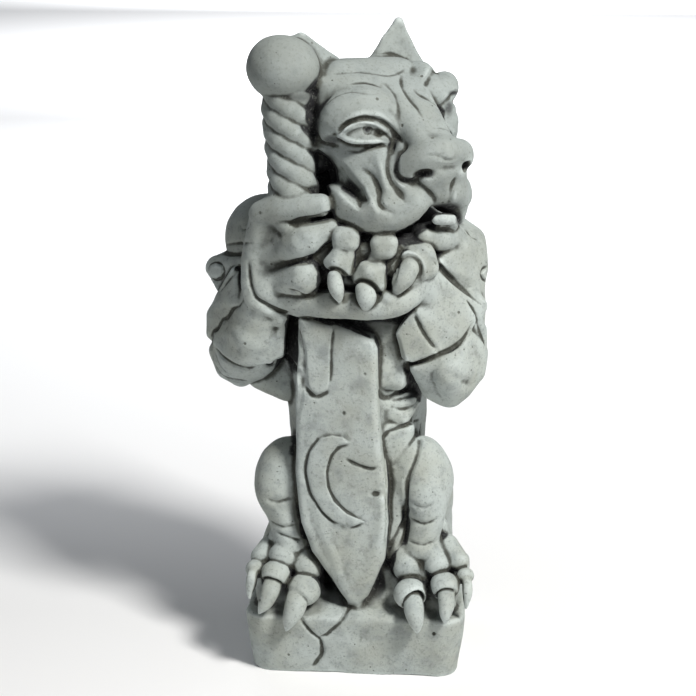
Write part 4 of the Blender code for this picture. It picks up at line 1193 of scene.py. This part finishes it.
def cast_stone():
    """Pale cast stone with a dark wash and painted shade in its hollows, a painted highlight on its ridges,
    air holes and fine grain.
    """
    stone = Stone("pale_cast_stone")
    crease, hollow, deep, spot_shade_and_stain = (stone.stored(name) for name in ("crease", "hollow", "deep", "spot_shade_and_stain"))
    cloud, blotch = stone.noise(60), stone.noise(14, 4)
    grain, speckle = stone.noise(2.2, 2), stone.noise(4.5, 3)
    height = stone.node("SeparateXYZ", {}, {"Vector": stone.place}, "Z")
    pale, warm, grey = colour(168, 176, 173), colour(154, 159, 151), colour(122, 129, 128)
    olive, dark = colour(43, 43, 35), colour(9, 9, 14)
    tone = stone.mix(cloud.step(0.35, 0.68), pale, warm)
    tone = stone.mix(blotch.step(0.46, 0.74) * 0.55, tone, grey)
    # Darker towards the top
    tone = stone.mix(height.step(0.34, 0.50) * 0.62, tone, colour(120, 127, 125))
    # Painted highlight: a paler colour on ridges and convex edges, where the crease measure is low
    tone = stone.mix(crease.step(0.45, 0.28) * 0.6, tone, colour(204, 213, 211))
    on_ground = height.step(0.085, 0.062)
    # Dark olive wash in the hollows, made stronger as painted shade where the hollows would lie in shadow
    wash_and_shade = (hollow + (blotch - 0.5) * 0.16).step(0.26, 0.58)
    tone = stone.mix(wash_and_shade * (0.82 - on_ground * 0.5), tone, colour(74, 76, 67))
    # Near-black lines along every crease and joint: partly the dark wash, partly painted shade
    line = (crease + (speckle - 0.5) * 0.08).step(0.50, 0.60)
    tone = stone.mix(line * 0.92, tone, olive)
    # Painted shade: blue-black in deep voids and narrow gaps, weaker on the plinth top
    painted_deep_shade = (crease * 0.5 + deep * 0.5 + (grain - 0.5) * 0.05).step(0.53, 0.68)
    tone = stone.mix(painted_deep_shade * (0.95 - on_ground * 0.8), tone, dark)
    # Spots of painted shade in the hollows, with a few stains, in blue-black
    tone = stone.mix(spot_shade_and_stain, tone, dark)
    many, few = stone.holes(9.0), stone.holes(23.0)
    where = stone.noise(37, 2).step(0.40, 0.60)
    pits = many.step(0.115, 0.05) * where
    large = few.step(0.080, 0.04)
    tone = stone.mix((pits + large) * 0.75, tone, colour(62, 62, 52))
    tone = stone.mix(speckle.step(0.52, 0.74) * 0.32, tone, colour(112, 117, 112))
    tone = stone.mix(grain.step(0.54, 0.72) * 0.40, tone, colour(100, 104, 98))
    stone.feed(stone.surface.inputs["Base Color"], tone)
    stone.feed(stone.surface.inputs["Roughness"], 0.80 + line * 0.12)
    relief = grain * 0.3 + speckle * 0.4 + blotch * 0.6 - pits * 0.9 - large * 1.2
    bump = stone.node("Bump", {}, {"Strength": 0.6, "Distance": 0.0012, "Height": relief})
    stone.feed(stone.surface.inputs["Normal"], bump)
    return stone.material


def light(name, azimuth, elevation, distance, size, watts, tint=(1, 1, 1)):
    """A soft square light that faces the statue; azimuth is measured as the camera's."""
    made = bpy.data.objects.new(name, bpy.data.lights.new(name, "AREA"))
    made.data.size, made.data.energy, made.data.color = size, watts, tint
    a, e = math.radians(azimuth), math.radians(elevation)
    way = Vector((math.sin(a) * math.cos(e), -math.cos(a) * math.cos(e), math.sin(e)))
    made.location = Vector((0, 0, 0.3)) + way * distance
    made.rotation_euler = way.to_track_quat("Z", "Y").to_euler()
    bpy.context.scene.collection.objects.link(made)
    return made


def floor_light(distance, watts):
    """A soft light over the floor behind the statue, turned away from it."""
    made = light("floor light", 180, 60, distance, 1.6, watts, (0.97, 0.98, 1))
    made.location = (0, distance, 2.4)
    made.rotation_euler = Vector((0, -0.94, 0.34)).to_track_quat("Z", "Y").to_euler()


def surroundings():
    """A plain pale floor, soft light from the upper right, and the camera where the photograph was taken."""
    mesh = bpy.data.meshes.new("floor")
    mesh.from_pydata([(x, y, 0) for x, y in ((-30, -30), (30, -30), (30, 30), (-30, 30))],
        [], [(0, 1, 2, 3)])
    floor = bpy.data.objects.new("floor", mesh)
    bpy.context.scene.collection.objects.link(floor)
    pale = bpy.data.materials.new("pale_floor")
    pale.use_nodes = True
    surface = pale.node_tree.nodes["Principled BSDF"].inputs
    surface["Base Color"].default_value = (0.86, 0.86, 0.86, 1)
    surface["Roughness"].default_value = 0.9
    mesh.materials.append(pale)
    world = bpy.data.worlds.new("studio")
    world.use_nodes = True
    sky = world.node_tree.nodes["Background"].inputs
    sky["Color"].default_value = (0.93, 0.96, 1, 1)
    sky["Strength"].default_value = 0.13
    bpy.context.scene.world = world
    light("key", 46, 46, 2.6, 0.5, 94, (1, 0.985, 0.96))
    light("fill", -40, 25, 3.0, 2.0, 4, (0.86, 0.92, 1))
    light("back", 205, 38, 3.2, 2.2, 16, (0.92, 0.96, 1))
    for distance, watts in ((0.9, 80), (2.2, 110), (4.5, 260), (8.5, 600)):
        floor_light(distance, watts)
    data = bpy.data.cameras.new("camera")
    data.lens = FOCAL / PICTURE * SENSOR
    data.sensor_width = SENSOR
    data.shift_x = -(AIM_ACROSS - PICTURE / 2) / PICTURE
    data.shift_y = (AIM_DOWN - PICTURE / 2) / PICTURE
    data.clip_end = 100
    camera = bpy.data.objects.new("camera", data)
    camera.location = Vector(CAMERA.at / 1000)
    camera.rotation_euler = Vector(CAMERA.back).to_track_quat("Z", "Y").to_euler()
    bpy.context.scene.collection.objects.link(camera)
    bpy.context.scene.camera = camera
    bpy.context.scene.view_settings.view_transform = "Standard"


def main():
    clay = carved()
    statue = stone_mesh(clay)
    thin(statue)
    shade_by_hollows(clay, statue)
    statue.data.materials.clear()
    statue.data.materials.append(cast_stone())
    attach(statue, "root")
    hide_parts("gargoyle_statue")
    surroundings()
    bpy.context.view_layer.update()


main()
